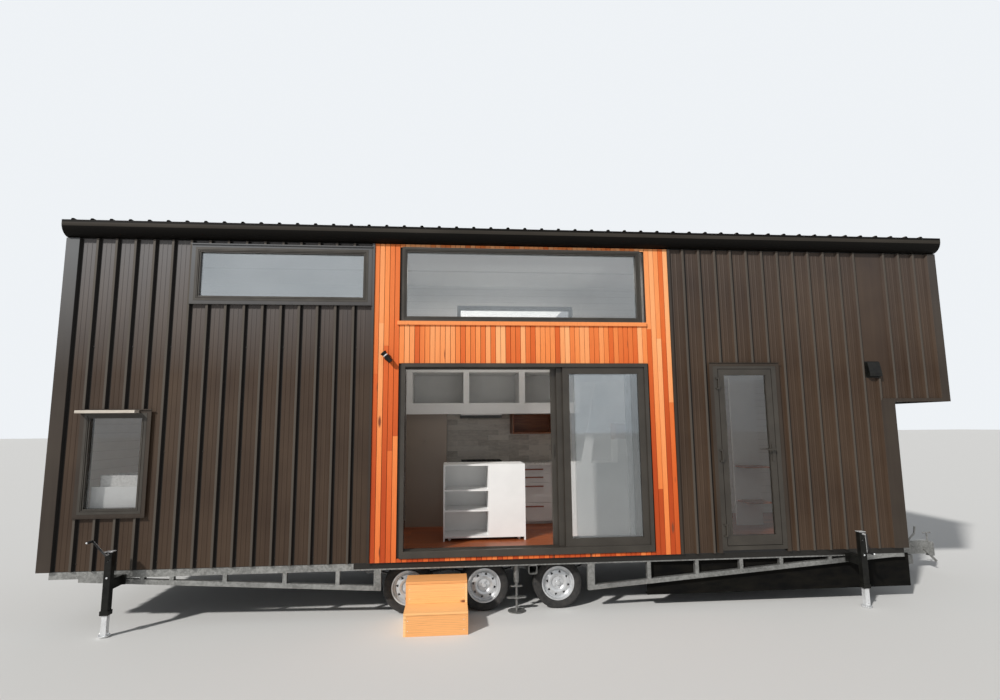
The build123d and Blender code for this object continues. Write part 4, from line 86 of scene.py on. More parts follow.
bpy.ops.mesh.primitive_plane_add(size=240.0, location=(0.0, 0.0, 0.0))
floor = bpy.context.object
floor.name = "studio_floor"
floor_paint = bpy.data.materials.new("studio_floor")
floor_paint.use_nodes = True
tree = floor_paint.node_tree
tree.nodes["Principled BSDF"].inputs["Base Color"].default_value = (0.63, 0.63, 0.62, 1.0)
tree.nodes["Principled BSDF"].inputs["Roughness"].default_value = 0.9
floor.data.materials.append(floor_paint)

air = bpy.data.worlds.new("studio_air")
bpy.context.scene.world = air
air.use_nodes = True
tree = air.node_tree
tree.nodes.clear()
seen = wire(tree, "LightPath")
shown = wire(tree, "Math", {0: seen.outputs["Is Camera Ray"], 1: seen.outputs["Is Glossy Ray"]},
             operation="MAXIMUM")
shown = wire(tree, "Math", {0: shown.outputs[0], 1: seen.outputs["Is Transmission Ray"]},
             operation="MAXIMUM")
lit = wire(tree, "Background", {"Color": (0.93, 0.96, 1.0, 1.0), "Strength": 0.35})
plain = wire(tree, "Background", {"Color": (0.86, 0.89, 0.92, 1.0), "Strength": 1.0})
both = wire(tree, "MixShader", {0: shown.outputs[0], 1: lit.outputs[0], 2: plain.outputs[0]})
wire(tree, "OutputWorld", {"Surface": both.outputs[0]})

sun = bpy.data.objects.new("key", bpy.data.lights.new("key", "SUN"))
bpy.context.scene.collection.objects.link(sun)
sun.data.energy = 3.6
sun.data.angle = math.radians(3.0)
sun.data.color = (1.0, 0.975, 0.94)
towards = np.array([0.62, 0.66, -0.62])
side = np.cross([0.0, 0.0, 1.0], -towards)
side /= np.linalg.norm(side)
pose = np.eye(4)
pose[:3, 2] = -towards / np.linalg.norm(towards)
pose[:3, 0] = side
pose[:3, 1] = np.cross(pose[:3, 2], side)
sun.matrix_world = Matrix(pose.tolist())
indoors = bpy.data.objects.new("indoors", bpy.data.lights.new("indoors", "AREA"))
bpy.context.scene.collection.objects.link(indoors)
indoors.data.shape, indoors.data.size, indoors.data.size_y = "RECTANGLE", 2.4, 1.2
indoors.data.energy = 17.0
indoors.data.color = (1.0, 0.94, 0.86)
indoors.location = in_frame([4700.0, 1150.0, 3330.0])


# Chassis, drawbar, axles and springs. Welded tube and channel, hot-dip galvanised: a dull grey zinc skin with
# faint spangle; on the rim under the cladding right of the left wall a painted shade makes it nearly black.
# The springs and axles are darker, with rusty road grime.
def finish(name):
    """Starts a material; returns it, its nodes, the object coordinates and its shader."""
    paint = bpy.data.materials.new(name)
    paint.use_nodes = True
    nodes = paint.node_tree
    return paint, nodes, wire(nodes, "TexCoord").outputs["Object"], nodes.nodes["Principled BSDF"]


def noise(tree, place, scale, stretch=(1.0, 1.0, 1.0), detail=4.0, rough=0.55):
    """Cloudy noise of a size in 1/m, its axes scaled by stretch."""
    along = wire(tree, "Mapping", {"Vector": place, "Scale": stretch}).outputs[0]
    made = wire(tree, "TexNoise", {"Vector": along, "Scale": scale, "Detail": detail, "Roughness": rough})
    return made.outputs["Fac"]


def ramp(tree, amount, *stops):
    """Colours or greys at places from 0 to 1, blended between them."""
    made = wire(tree, "ValToRGB", {"Fac": amount})
    bar = made.color_ramp.elements
    while len(bar) < len(stops):
        bar.new(0.5)
    for element, (at, colour) in zip(bar, stops):
        element.position = at
        element.color = (*colour, 1.0) if isinstance(colour, tuple) else (colour, colour, colour, 1.0)
    return made.outputs["Color"]


def relief(tree, skin, height, depth, strength=1.0):
    """Bumps the surface by a height pattern, depth in metres, over any relief it already has."""
    made = wire(tree, "Bump", {"Height": height, "Distance": depth, "Strength": strength})
    if skin.inputs["Normal"].is_linked:
        tree.links.new(skin.inputs["Normal"].links[0].from_socket, made.inputs["Normal"])
    tree.links.new(made.outputs[0], skin.inputs["Normal"])


def join(tree, output, skin, socket):
    """Leads an output into one of the shader's sockets."""
    tree.links.new(output, skin.inputs[socket])


def within(tree, place, low, high):
    """1 where the place lies in a box given by two corners in house millimetres, 0 elsewhere."""
    low, high = in_frame(low), in_frame(high)
    away = wire(tree, "VectorMath", {0: place, 1: tuple((low + high) / 2)}, operation="SUBTRACT").outputs[0]
    away = wire(tree, "VectorMath", {0: away}, operation="ABSOLUTE").outputs[0]
    away = wire(tree, "VectorMath", {0: away, 1: tuple((high - low) / 2)}, operation="SUBTRACT").outputs[0]
    parts = wire(tree, "SeparateXYZ", {"Vector": away})
    worst = wire(tree, "Math", {0: parts.outputs[0], 1: parts.outputs[1]}, operation="MAXIMUM").outputs[0]
    worst = wire(tree, "Math", {0: worst, 1: parts.outputs[2]}, operation="MAXIMUM").outputs[0]
    return wire(tree, "Math", {0: worst, 1: 0.0}, operation="LESS_THAN").outputs[0]


def blend(tree, amount, first, second):
    """The first colour where the amount is 0 and the second where it is 1."""
    first, second = ((*c, 1.0) if isinstance(c, tuple) else c for c in (first, second))
    return wire(tree, "MixRGB", {"Fac": amount, "Color1": first, "Color2": second}).outputs[0]


def dress(paint, *names):
    """Gives CAD nodes a finish in place of the plain one they came with."""
    for name in names:
        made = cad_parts[name]
        if not made.material_slots:
            made.data.materials.append(paint)
        for slot in made.material_slots:
            slot.material = paint


galvanised, tree, place, skin = finish("galvanised_steel")
spangle = wire(tree, "TexVoronoi", {"Vector": place, "Scale": 60.0}).outputs["Color"]
spangle = wire(tree, "SeparateColor", {"Color": spangle}).outputs[0]
cloud = noise(tree, place, 3.0, detail=6.0)
mixed = wire(tree, "Math", {0: spangle, 1: 0.35, 2: cloud}, operation="MULTIPLY_ADD").outputs[0]
zinc_skin = ramp(tree, mixed, (0.25, (0.13, 0.13, 0.125)), (0.6, (0.22, 0.22, 0.21)),
                 (1.0, (0.34, 0.34, 0.325)))
# Painted shade: the rim under the cladding, right of the left wall, is blended to near black.
painted_shade_rim = within(tree, place, (3000.0, -300.0, -62.0), (9900.0, 2700.0, 20.0))
join(tree, blend(tree, painted_shade_rim, zinc_skin, (0.030, 0.028, 0.025)), skin, "Base Color")
join(tree, ramp(tree, mixed, (0.2, 0.34), (1.0, 0.58)), skin, "Roughness")
skin.inputs["Metallic"].default_value = 0.72
relief(tree, skin, noise(tree, place, 220.0), 0.0004)
dress(galvanised, "front_truss", "rear_truss", "cross_members", "drawbar", "coupling_head", "prop_stands")

spring_steel, tree, place, skin = finish("spring_steel")
grime_and_painted_shade = noise(tree, place, 14.0, detail=7.0)
join(tree, ramp(tree, grime_and_painted_shade, (0.3, (0.10, 0.10, 0.10)), (0.55, (0.22, 0.22, 0.22)), (0.8, (0.20, 0.15, 0.11))),
     skin, "Base Color")
join(tree, ramp(tree, grime_and_painted_shade, (0.3, 0.45), (0.8, 0.75)), skin, "Roughness")
skin.inputs["Metallic"].default_value = 0.5
relief(tree, skin, noise(tree, place, 180.0), 0.0005)
dress(spring_steel, "axle_beams", "leaf_springs")

# Wheels. Radial trailer tyres on pressed eight-hole rims in silver paint; one finish tells rubber from steel
# by its distance from the axle, and gives the sidewall its moulded rings and the tread its sipes.
AXLE_X, AXLE_STEP, AXLE_Z = in_frame([3550.0, 0.0, 0.0])[0], 0.797, 0.262
wheel_paint, tree, place, skin = finish("tyre_and_rim")
parts = wire(tree, "SeparateXYZ", {"Vector": place})
across = wire(tree, "Math", {0: parts.outputs[0], 1: -AXLE_X + 1.5 * AXLE_STEP}, operation="ADD").outputs[0]
across = wire(tree, "Math", {0: across, 1: AXLE_STEP}, operation="FLOORED_MODULO").outputs[0]
across = wire(tree, "Math", {0: across, 1: -0.5 * AXLE_STEP}, operation="ADD").outputs[0]
rise = wire(tree, "Math", {0: parts.outputs[2], 1: -AXLE_Z}, operation="ADD").outputs[0]
spoke = wire(tree, "CombineXYZ", {"X": across, "Y": rise}).outputs[0]
radius = wire(tree, "VectorMath", {0: spoke}, operation="LENGTH").outputs["Value"]
turn = wire(tree, "Math", {0: rise, 1: across}, operation="ARCTAN2").outputs[0]
rubber = wire(tree, "Math", {0: radius, 1: 0.1775}, operation="GREATER_THAN").outputs[0]
dust = noise(tree, place, 26.0, detail=6.0)
black = ramp(tree, dust, (0.3, (0.016, 0.016, 0.017)), (0.75, (0.052, 0.048, 0.044)))
silver = ramp(tree, dust, (0.3, (0.52, 0.53, 0.54)), (0.8, (0.66, 0.67, 0.68)))
join(tree, blend(tree, rubber, silver, black), skin, "Base Color")
metal = wire(tree, "Math", {0: rubber, 1: -0.55, 2: 0.55}, operation="MULTIPLY_ADD").outputs[0]
join(tree, metal, skin, "Metallic")
dull = wire(tree, "Math", {0: rubber, 1: 0.42, 2: 0.34}, operation="MULTIPLY_ADD").outputs[0]
join(tree, dull, skin, "Roughness")
rings = wire(tree, "Math", {0: radius, 1: 900.0}, operation="MULTIPLY").outputs[0]
rings = wire(tree, "Math", {0: rings}, operation="SINE").outputs[0]
sipes = wire(tree, "Math", {0: turn, 1: 74.0}, operation="MULTIPLY").outputs[0]
sipes = wire(tree, "Math", {0: sipes}, operation="SINE").outputs[0]
tread = wire(tree, "Math", {0: radius, 1: 0.253}, operation="GREATER_THAN").outputs[0]
mould = wire(tree, "MixRGB", {"Fac": tread, "Color1": rings, "Color2": sipes}).outputs[0]
mould = wire(tree, "Math", {0: mould, 1: rubber}, operation="MULTIPLY").outputs[0]
relief(tree, skin, mould, 0.0022, 0.8)
dress(wheel_paint, *(f"wheel_{row}_{i}" for row in ("front", "rear") for i in (1, 2, 3)))

# Black folded tray under the floor: recycled plastic sheet on a steel fold, dusty along its lower edge.
tray_paint, tree, place, skin = finish("black_tray")
road = noise(tree, place, 5.0, stretch=(1.0, 1.0, 3.0), detail=8.0)
join(tree, ramp(tree, road, (0.35, (0.002, 0.002, 0.002)), (0.8, (0.010, 0.009, 0.007))), skin, "Base Color")
join(tree, ramp(tree, road, (0.3, 0.7), (0.8, 0.95)), skin, "Roughness")
skin.inputs["Specular IOR Level"].default_value = 0.08
relief(tree, skin, noise(tree, place, 9.0, stretch=(1.0, 1.0, 0.4)), 0.003)
dress(tray_paint, "underfloor_tray")

# Floor panels. Oiled boards laid along the house, 140 mm wide with staggered ends and dark joints, are what
# shows inside the doorways; the same boards show on the floor of the overhang.
boards_paint, tree, place, skin = finish("floor_boards")
laid = wire(tree, "Mapping", {"Vector": place, "Scale": (1.0, 1.0, 0.0)}).outputs[0]
planks = wire(tree, "TexBrick", {"Vector": laid, "Color1": (0.22, 0.062, 0.014, 1.0), "Color2": (0.36, 0.125, 0.034, 1.0),
                                 "Mortar": (0.06, 0.025, 0.012, 1.0), "Scale": 1.0, "Mortar Size": 0.002,
                                 "Bias": -0.1, "Brick Width": 1.7, "Row Height": 0.14}, offset=0.37)
grain = noise(tree, place, 9.0, stretch=(0.8, 9.0, 9.0), detail=9.0, rough=0.62)
tinted = wire(tree, "MixRGB", {"Fac": 0.55, "Color1": planks.outputs[0],
                               "Color2": ramp(tree, grain, (0.3, (0.16, 0.045, 0.015)), (0.7, (0.55, 0.24, 0.09)))},
              blend_type="OVERLAY").outputs[0]
indoor = within(tree, place, (25.0, 25.0, 0.0), (9715.0, 2375.0, 3000.0))
join(tree, blend(tree, indoor, (0.010, 0.009, 0.008), tinted), skin, "Base Color")
join(tree, ramp(tree, grain, (0.2, 0.34), (0.9, 0.52)), skin, "Roughness")
relief(tree, skin, planks.outputs["Fac"], -0.0012)
dress(boards_paint, "floor_panels")

# Walls, lintels and roof panel. Inside they are lined with painted tongued boards 100 mm wide, a thin shadow
# line at each joint; outside, behind the sheets, they are wrapped in black building paper.
lining, tree, place, skin = finish("white_lining")
parts = wire(tree, "SeparateXYZ", {"Vector": place})
line = wire(tree, "Math", {0: parts.outputs[2], 1: 10.0}, operation="MULTIPLY").outputs[0]
line = wire(tree, "Math", {0: line}, operation="FRACT").outputs[0]
line = wire(tree, "Math", {0: line, 1: 0.035}, operation="GREATER_THAN").outputs[0]
hand = noise(tree, place, 6.0, detail=5.0)
white = ramp(tree, hand, (0.3, (0.78, 0.775, 0.755)), (0.8, (0.85, 0.845, 0.83)))
painted = blend(tree, line, (0.52, 0.51, 0.49), white)
indoor = within(tree, place, (20.0, 20.0, -60.0), (9721.0, 2380.0, 3700.0))
join(tree, blend(tree, indoor, (0.012, 0.011, 0.010), painted), skin, "Base Color")
join(tree, ramp(tree, hand, (0.3, 0.42), (0.8, 0.56)), skin, "Roughness")
relief(tree, skin, line, 0.0015)
dress(lining, "front_wall_left", "front_wall_between_doors", "front_wall_right", "door_lintels", "rear_wall",
      "left_end_wall", "right_end_walls", "roof_deck")

# Wall and roof sheets. Colour-coated steel rolled into trapezoid ribs 190 mm apart, 29 high, with two shallow
# stiffening flutes in every pan. They stand on the walls, cut round the openings and the vent's apron, and are
# held by hex-headed screws beside the ribs.
RIB_PITCH = 190.0
RIB_KNOTS = np.array([-27.0, -13.0, -10.0, 10.0, 13.0, 27.0, 35.0, 44.0,
                      62.0, 67.0, 75.0, 80.0, 110.0, 115.0, 123.0, 128.0])
RIB_LIFTS = np.array([0.0, 27.0, 29.0, 29.0, 27.0, 0.0, 0.0, 0.0, 0.0, 2.4, 2.4, 0.0, 0.0, 2.4, 2.4, 0.0])
# Painted shade beside each rib: 1 on the rib's right flank and the pan next to it, where the rib's shadow falls.
RIB_PAINTED_SHADE = np.array([0.0] * 4 + [1.0] * 3 + [0.0] * 9)


def quads_of(rows, columns, keep=None, closed=False):
    """Quads between neighbours of a grid whose points are numbered row by row; keep picks cells."""
    last = columns if closed else columns - 1
    i, j = np.meshgrid(np.arange(rows - 1), np.arange(last), indexing="ij")
    k = (j + 1) % columns
    cells = np.stack([i * columns + j, i * columns + k, (i + 1) * columns + k, (i + 1) * columns + j], -1)
    return cells[keep] if keep is not None else cells.reshape(-1, 4)


def lay(name, points, quads, paint, slot, seams=30.0, extra=None):
    """Puts points (house mm) and quads into a mesh on the house, smooth but for folds sharper than seams."""
    sheet = bpy.data.meshes.new(name)
    quads = np.asarray(quads, np.int32)
    spots = np.asarray(in_frame(points), np.float32)
    sheet.vertices.add(len(spots))
    sheet.vertices.foreach_set("co", spots.ravel())
    sheet.loops.add(quads.size)
    sheet.loops.foreach_set("vertex_index", quads.ravel())
    sheet.polygons.add(len(quads))
    sheet.polygons.foreach_set("loop_start", np.arange(0, quads.size, 4, dtype=np.int32))
    sheet.polygons.foreach_set("use_smooth", np.full(len(quads), seams > 0.0))
    for key, values in (extra or {}).items():
        field = sheet.attributes.new(key, "FLOAT", "POINT")
        field.data.foreach_set("value", np.asarray(values, np.float32))
    sheet.update(calc_edges=True)
    sheet.validate()
    sheet.set_sharp_from_angle(angle=math.radians(seams))
    sheet.materials.append(paint)
    piece = bpy.data.objects.new(name, sheet)
    bpy.context.scene.collection.objects.link(piece)
    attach(piece, "house")
    return piece


def ribbed(first, start, end, foot, head, holes, put, flip):
    """Rib profile carried up a wall: point = put(u, lift(u), foot + t (head(u) - foot)), less the holes.

    lift(u) runs straight between the knots of the profile, which repeats every pitch from the first rib.
    """
    ribs = first + RIB_PITCH * np.arange(-2, int((end - first) // RIB_PITCH) + 2)
    knots = (ribs[:, None] + RIB_KNOTS).ravel()
    lifts = np.tile(RIB_LIFTS, len(ribs))
    ribs_inside = (ribs - 27.0 > start) & (ribs + 27.0 < end + 1.0)
    lifts = np.where(np.repeat(ribs_inside, len(RIB_KNOTS)) | (lifts < 3.0), lifts, 0.0)
    cuts = [edge for hole in holes for edge in hole[:2]]
    u = np.unique(np.round(np.concatenate([knots[(knots > start) & (knots < end)], [start, end], cuts]), 3))
    u = u[(u >= start) & (u <= end)]
    lift = np.interp(u, knots, lifts)
    steps = np.unique([0.0, 1.0] + [(z - foot) / (head(0.0) - foot) for hole in holes for z in hole[2:]])
    steps = steps[(steps >= 0.0) & (steps <= 1.0)]
    spread, step = np.meshgrid(u, steps)
    points = put(spread, np.broadcast_to(lift, spread.shape), foot + step * (head(spread) - foot))
    middle_u = (u[1:] + u[:-1]) / 2
    middle_z = foot + (steps[1:] + steps[:-1]) / 2 * (head(0.0) - foot)
    keep = np.ones((len(steps) - 1, len(u) - 1), bool)
    for left, right, low, high in holes:
        beside, between = (middle_u > left) & (middle_u < right), (middle_z > low) & (middle_z < high)
        keep &= ~(beside[None] & between[:, None])
    quads = quads_of(len(steps), len(u), keep)
    # Painted shade beside each rib and the rib height share for the painted crown highlight, carried as attributes.
    grime_and_painted_shade = np.interp(u, knots, np.tile(RIB_PAINTED_SHADE, len(ribs)))
    crown_highlight = lift / RIB_LIFTS.max()
    return points.reshape(-1, 3), quads[:, ::-1] if flip else quads, np.tile([crown_highlight, grime_and_painted_shade], len(steps))


def gather(*meshes):
    """Several point and quad sets as one, the numbers of the later ones moved up."""
    points, quads, count = [], [], 0
    for spots, cells in meshes:
        points.append(spots)
        quads.append(cells + count)
        count += len(spots)
    return np.concatenate(points), np.concatenate(quads)


def sheets(name, stands_for, *runs):
    """Ribbed runs as one piece with a sheet's thickness, its own share of the rib height kept at every point."""
    points, quads = gather(*(run[:2] for run in runs))
    # Rib height share for the painted crown highlight, and the painted shade beside each rib.
    crown_highlight, grime_and_painted_shade = np.concatenate([run[2] for run in runs], axis=1)
    piece = lay(name, points, quads, bronze, "brown_steel", seams=0.0, extra={"lift": crown_highlight, "grime_and_painted_shade": grime_and_painted_shade})
    wall = piece.modifiers.new("thickness", "SOLIDIFY")
    wall.thickness = 0.0012
    wall.offset = -1.0
    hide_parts(stands_for)


def coated(name, low, high):
    """Satin colour coat: streaks between two browns, and a painted sky sheen, paler and greyer, high up and to the
    left.

    On ribbed sheets the crowns carry a painted highlight, and a dark line of painted shade runs beside each rib,
    where its shadow falls.
    """
    paint, tree, place, skin = finish(name)
    streak = noise(tree, place, 3.0, stretch=(6.0, 6.0, 0.25), detail=7.0, rough=0.6)
    patch = noise(tree, place, 1.1, detail=3.0)
    mixed = wire(tree, "Math", {0: streak, 1: 0.6, 2: patch}, operation="MULTIPLY_ADD").outputs[0]
    # Painted highlight: rib crowns, found by the lift attribute, are blended to a paler brown.
    crown_highlight = ramp(tree, wire(tree, "Attribute", attribute_name="lift").outputs["Fac"], (0.93, 0.0), (0.99, 1.0))
    # Painted shade: a near-black line beside each rib, from the second attribute.
    grime_and_painted_shade = wire(tree, "Attribute", attribute_name="grime_and_painted_shade").outputs["Fac"]
    parts = wire(tree, "SeparateXYZ", {"Vector": place})
    # Painted sky sheen: pale grey is added high up and towards the left.
    high_up = wire(tree, "MapRange", {"Value": parts.outputs[2], "From Min": 2.5, "From Max": 3.8}).outputs[0]
    far_left = wire(tree, "MapRange", {"Value": parts.outputs[0], "From Min": 1.0, "From Max": -3.4,
                                       "To Min": 0.16}).outputs[0]
    painted_sky_sheen = wire(tree, "Math", {0: high_up, 1: far_left}, operation="MULTIPLY").outputs[0]
    coat = ramp(tree, mixed, (0.45, low), (1.05, high))
    painted_sheen_colour = blend(tree, painted_sky_sheen, (0.0, 0.0, 0.0), (0.070, 0.083, 0.095))
    coat = wire(tree, "MixRGB", {"Fac": 1.0, "Color1": coat, "Color2": painted_sheen_colour}, blend_type="ADD").outputs[0]
    coat = blend(tree, crown_highlight, coat, (0.066, 0.055, 0.044))
    join(tree, blend(tree, grime_and_painted_shade, coat, (0.006, 0.005, 0.004)), skin, "Base Color")
    join(tree, ramp(tree, mixed, (0.4, 0.46), (1.1, 0.58)), skin, "Roughness")
    skin.inputs["Specular IOR Level"].default_value = 0.28
    relief(tree, skin, noise(tree, place, 2.2, stretch=(1.0, 1.0, 0.6), detail=2.0), 0.0016, 0.5)
    relief(tree, skin, noise(tree, place, 900.0, detail=2.0), 0.00006, 0.6)
    return paint


bronze = coated("coated_steel", (0.028, 0.0145, 0.0075), (0.056, 0.034, 0.020))
BODY, FULL, WIDTH, HEAD, UNDERSIDE = 9047.0, 9741.0, 2400.0, 3381.0, 1640.0
LEFT_RIB, RIGHT_RIB, ROOF_RIB = 88.0, 6644.0, 57.0
ROOF_ANGLE = math.radians(2.5)
SLOPE = math.tan(ROOF_ANGLE)
HIGH, SMALL = (1275.0, 3088.0, 2725.0, 3305.0), (298.0, 900.0, 545.0, 1545.0)
REAR = (4090.0, 5860.0, 2560.0, 3190.0)


def grown(hole, margin):
    """A window's edges moved out by a margin."""
    return hole[0] - margin, hole[1] + margin, hole[2] - margin, hole[3] + margin


def on_front(u, lift, z):
    """Front wall: lift goes towards the viewer."""
    return np.stack([u, -lift, z], -1)


def even_top(height):
    """A level upper edge, as ribbed() asks for it."""
    return lambda u: height + 0.0 * u


overhang = (BODY - 3.0, FULL, -12.0, UNDERSIDE)
apron = (8777.0, 9086.0, 1892.0, HEAD + 4.0)
left_run = ribbed(LEFT_RIB, 3.0, 3153.0, 0.0, even_top(HEAD), [grown(HIGH, 20.0), grown(SMALL, 20.0)],
                  on_front, False)
right_run = ribbed(RIGHT_RIB, 6464.0, FULL - 3.0, 0.0, even_top(HEAD),
                   [(6921.0, 7669.0, -16.0, 2034.0), overhang, apron], on_front, False)
flat = ribbed(8500.0, apron[0], apron[1], apron[2], even_top(HEAD), [],
              lambda u, lift, z: on_front(u, 0.0 * lift, z), False)
sheets("front_sheets", "front_cladding", left_run, right_run, (flat[0], flat[1], 0.0 * flat[2]))


def even_first(length):
    """First rib of a wall whose end ribs stand equally far from both corners."""
    spare = length % RIB_PITCH
    return (spare + RIB_PITCH if spare < 62.0 else spare) / 2


rear_run = ribbed(even_first(FULL), 3.0, FULL - 3.0, 0.0, even_top(HEAD + WIDTH * SLOPE),
                  [grown(REAR, 20.0), overhang], lambda u, lift, z: np.stack([u, WIDTH + lift, z], -1), True)
sheets("rear_sheets", "rear_cladding", rear_run)

end_rib = even_first(WIDTH)
end_runs = [ribbed(end_rib, 7.0, 2393.0, low, top, [], put, flip) for low, top, put, flip in (
    (0.0, lambda u: HEAD + u * SLOPE, lambda u, lift, z: np.stack([-lift, u, z], -1), True),
    (0.0, even_top(UNDERSIDE), lambda u, lift, z: np.stack([BODY + lift, u, z], -1), False),
    (UNDERSIDE, lambda u: HEAD + u * SLOPE, lambda u, lift, z: np.stack([FULL + lift, u, z], -1), False))]
sheets("end_sheets", "end_cladding", *end_runs)

cosine, sine = math.cos(ROOF_ANGLE), math.sin(ROOF_ANGLE)
WALL_TOP, ROOF_PANEL, EAVE_OUT = 3385.0, 160.0, 100.0
eave_height = WALL_TOP - EAVE_OUT * SLOPE + ROOF_PANEL + 3.0 / cosine


def on_roof(u, lift, z):
    """Roof: z runs up the slope from the eave and lift stands square to it."""
    return np.stack([u, -EAVE_OUT + z * cosine - lift * sine, eave_height + z * sine + lift * cosine], -1)


roof_run = ribbed(ROOF_RIB, 3.0, FULL - 3.0, 0.0, even_top(2510.0 / cosine), [], on_roof, False)
sheets("roof_sheets", "roof_sheet", roof_run)

# Flashings and gutter. Folded from the same coated coil: corner angles over the ribs, window surrounds with
# drip heads, barges, back cap, and a quarter-round gutter with a turned lip and a paler band of painted sheen.
trim_paint = coated("coated_trim", (0.020, 0.013, 0.009), (0.044, 0.033, 0.024))
dress(trim_paint, "flashings")
gutter_paint, tree, place, skin = finish("gutter_coat")
rain = noise(tree, place, 3.0, stretch=(0.4, 3.0, 3.0), detail=6.0)
# Painted sheen: a paler band along the gutter's face, where it mirrors the sky.
band = within(tree, place, (-200.0, -300.0, 3482.0), (9900.0, 2700.0, 3521.0))
plain_coat = ramp(tree, rain, (0.3, (0.003, 0.0025, 0.002)), (0.8, (0.006, 0.005, 0.004)))
painted_sheen_coat = ramp(tree, rain, (0.3, (0.030, 0.026, 0.021)), (0.8, (0.050, 0.044, 0.037)))
join(tree, blend(tree, band, plain_coat, painted_sheen_coat), skin, "Base Color")
join(tree, ramp(tree, rain, (0.3, 0.45), (0.8, 0.65)), skin, "Roughness")
skin.inputs["Specular IOR Level"].default_value = 0.1
relief(tree, skin, rain, 0.0006)
dress(gutter_paint, "gutter")


def turned(spots, out, profile, sides=16):
    """Turned pieces: every (radius, distance) of a profile is swept round the axis along out, at each spot."""
    rings = np.asarray(profile, float)
    angle = np.arange(sides) * 2.0 * math.pi / sides
    out = np.asarray(out, float) / np.linalg.norm(out)
    first = np.cross(out, [0.3, 0.5, 0.8])
    first /= np.linalg.norm(first)
    around = np.cos(angle)[:, None] * first + np.sin(angle)[:, None] * np.cross(out, first)
    shape = (rings[:, None, 0:1] * around[None] + rings[:, None, 1:2] * out).reshape(-1, 3)
    spots = np.asarray(spots, float).reshape(-1, 3)
    cells = quads_of(len(rings), sides, closed=True)
    points = (spots[:, None] + shape[None]).reshape(-1, 3)
    return points, (cells[None] + (np.arange(len(spots)) * len(shape))[:, None, None]).reshape(-1, 4)


def studs(spots, out, radius=5.5, height=5.0):
    """Hex-washer screws: washer, hex and flat top turned in six sides, standing along out at each spot."""
    washer_hex = np.array([(1.45, 0.0), (1.45, 0.25), (0.9, 0.3), (0.9, 0.9), (0.55, 1.0), (0.0, 1.0)])
    return turned(spots, out, washer_hex * (radius, height), 6)


def rows_of(values, levels, y):
    """Spots at every pair of a value along the wall and a level, at one depth."""
    x, z = np.meshgrid(values, levels)
    return np.stack([x.ravel(), np.full(x.size, y), z.ravel()], -1)


BESIDE_RIB, SCREW_ROWS = 38.0, [70.0, 1150.0, 2230.0]
left_pans = LEFT_RIB + RIB_PITCH * np.arange(1, 16, 2) + BESIDE_RIB
right_pans = RIGHT_RIB + RIB_PITCH * np.arange(0, 13, 2) + BESIDE_RIB
front_spots = np.concatenate([rows_of(left_pans, SCREW_ROWS, 0.0), rows_of(right_pans, SCREW_ROWS, 0.0)])


def outside(spots, *holes):
    """Only the spots that lie clear of the windows and doors."""
    keep = np.ones(len(spots), bool)
    for left, right, low, high in holes:
        beside = (spots[:, 0] > left - 60) & (spots[:, 0] < right + 60)
        keep &= ~(beside & (spots[:, 2] > low - 60) & (spots[:, 2] < high + 60))
    return spots[keep]


front_spots = outside(front_spots, HIGH, SMALL, (6925.0, 7665.0, 0.0, 2030.0), apron)
rear_pans = even_first(FULL) + RIB_PITCH * np.arange(1, 50, 2) + BESIDE_RIB
rear_spots = outside(rows_of(rear_pans, SCREW_ROWS + [3380.0], WIDTH), REAR, overhang)
end_pans = end_rib + RIB_PITCH * np.arange(1, 11, 2) + BESIDE_RIB
end_spots = rows_of(end_pans, SCREW_ROWS + [3300.0], 0.0)[:, [1, 0, 2]]
far_spots = end_spots.copy()
far_spots[:, 0] = np.where(far_spots[:, 2] < UNDERSIDE, BODY, FULL)
ridge_x, ridge_y = np.meshgrid(ROOF_RIB + RIB_PITCH * np.arange(0, 51), np.linspace(120.0, 2150.0, 4))
ridge_x, ridge_y = ridge_x.ravel(), ridge_y.ravel()
roof_spots = np.stack([ridge_x, ridge_y, WALL_TOP + ridge_y * SLOPE + ROOF_PANEL + 32.0], -1)
lay("sheet_screws", *gather(studs(front_spots, (0, -1, 0)), studs(rear_spots, (0, 1, 0)),
                            studs(end_spots, (-1, 0, 0)), studs(far_spots, (1, 0, 0)),
                            studs(roof_spots, (0, 0, 1))), trim_paint, "brown_steel")

# Cedar bay. Vertical boards about 55 mm wide over a black membrane, with 4 mm dark gaps, butted ends here and
# there, oiled orange to salmon, every board with its own tone and grain; a sill board under the clerestory.
BAY = (3157.0, 6460.0)
CLERESTORY = (3455.0, 6133.0, 2522.0, 3349.0)
DOORWAY = (3460.0, 6170.0, 35.0, 2060.0)


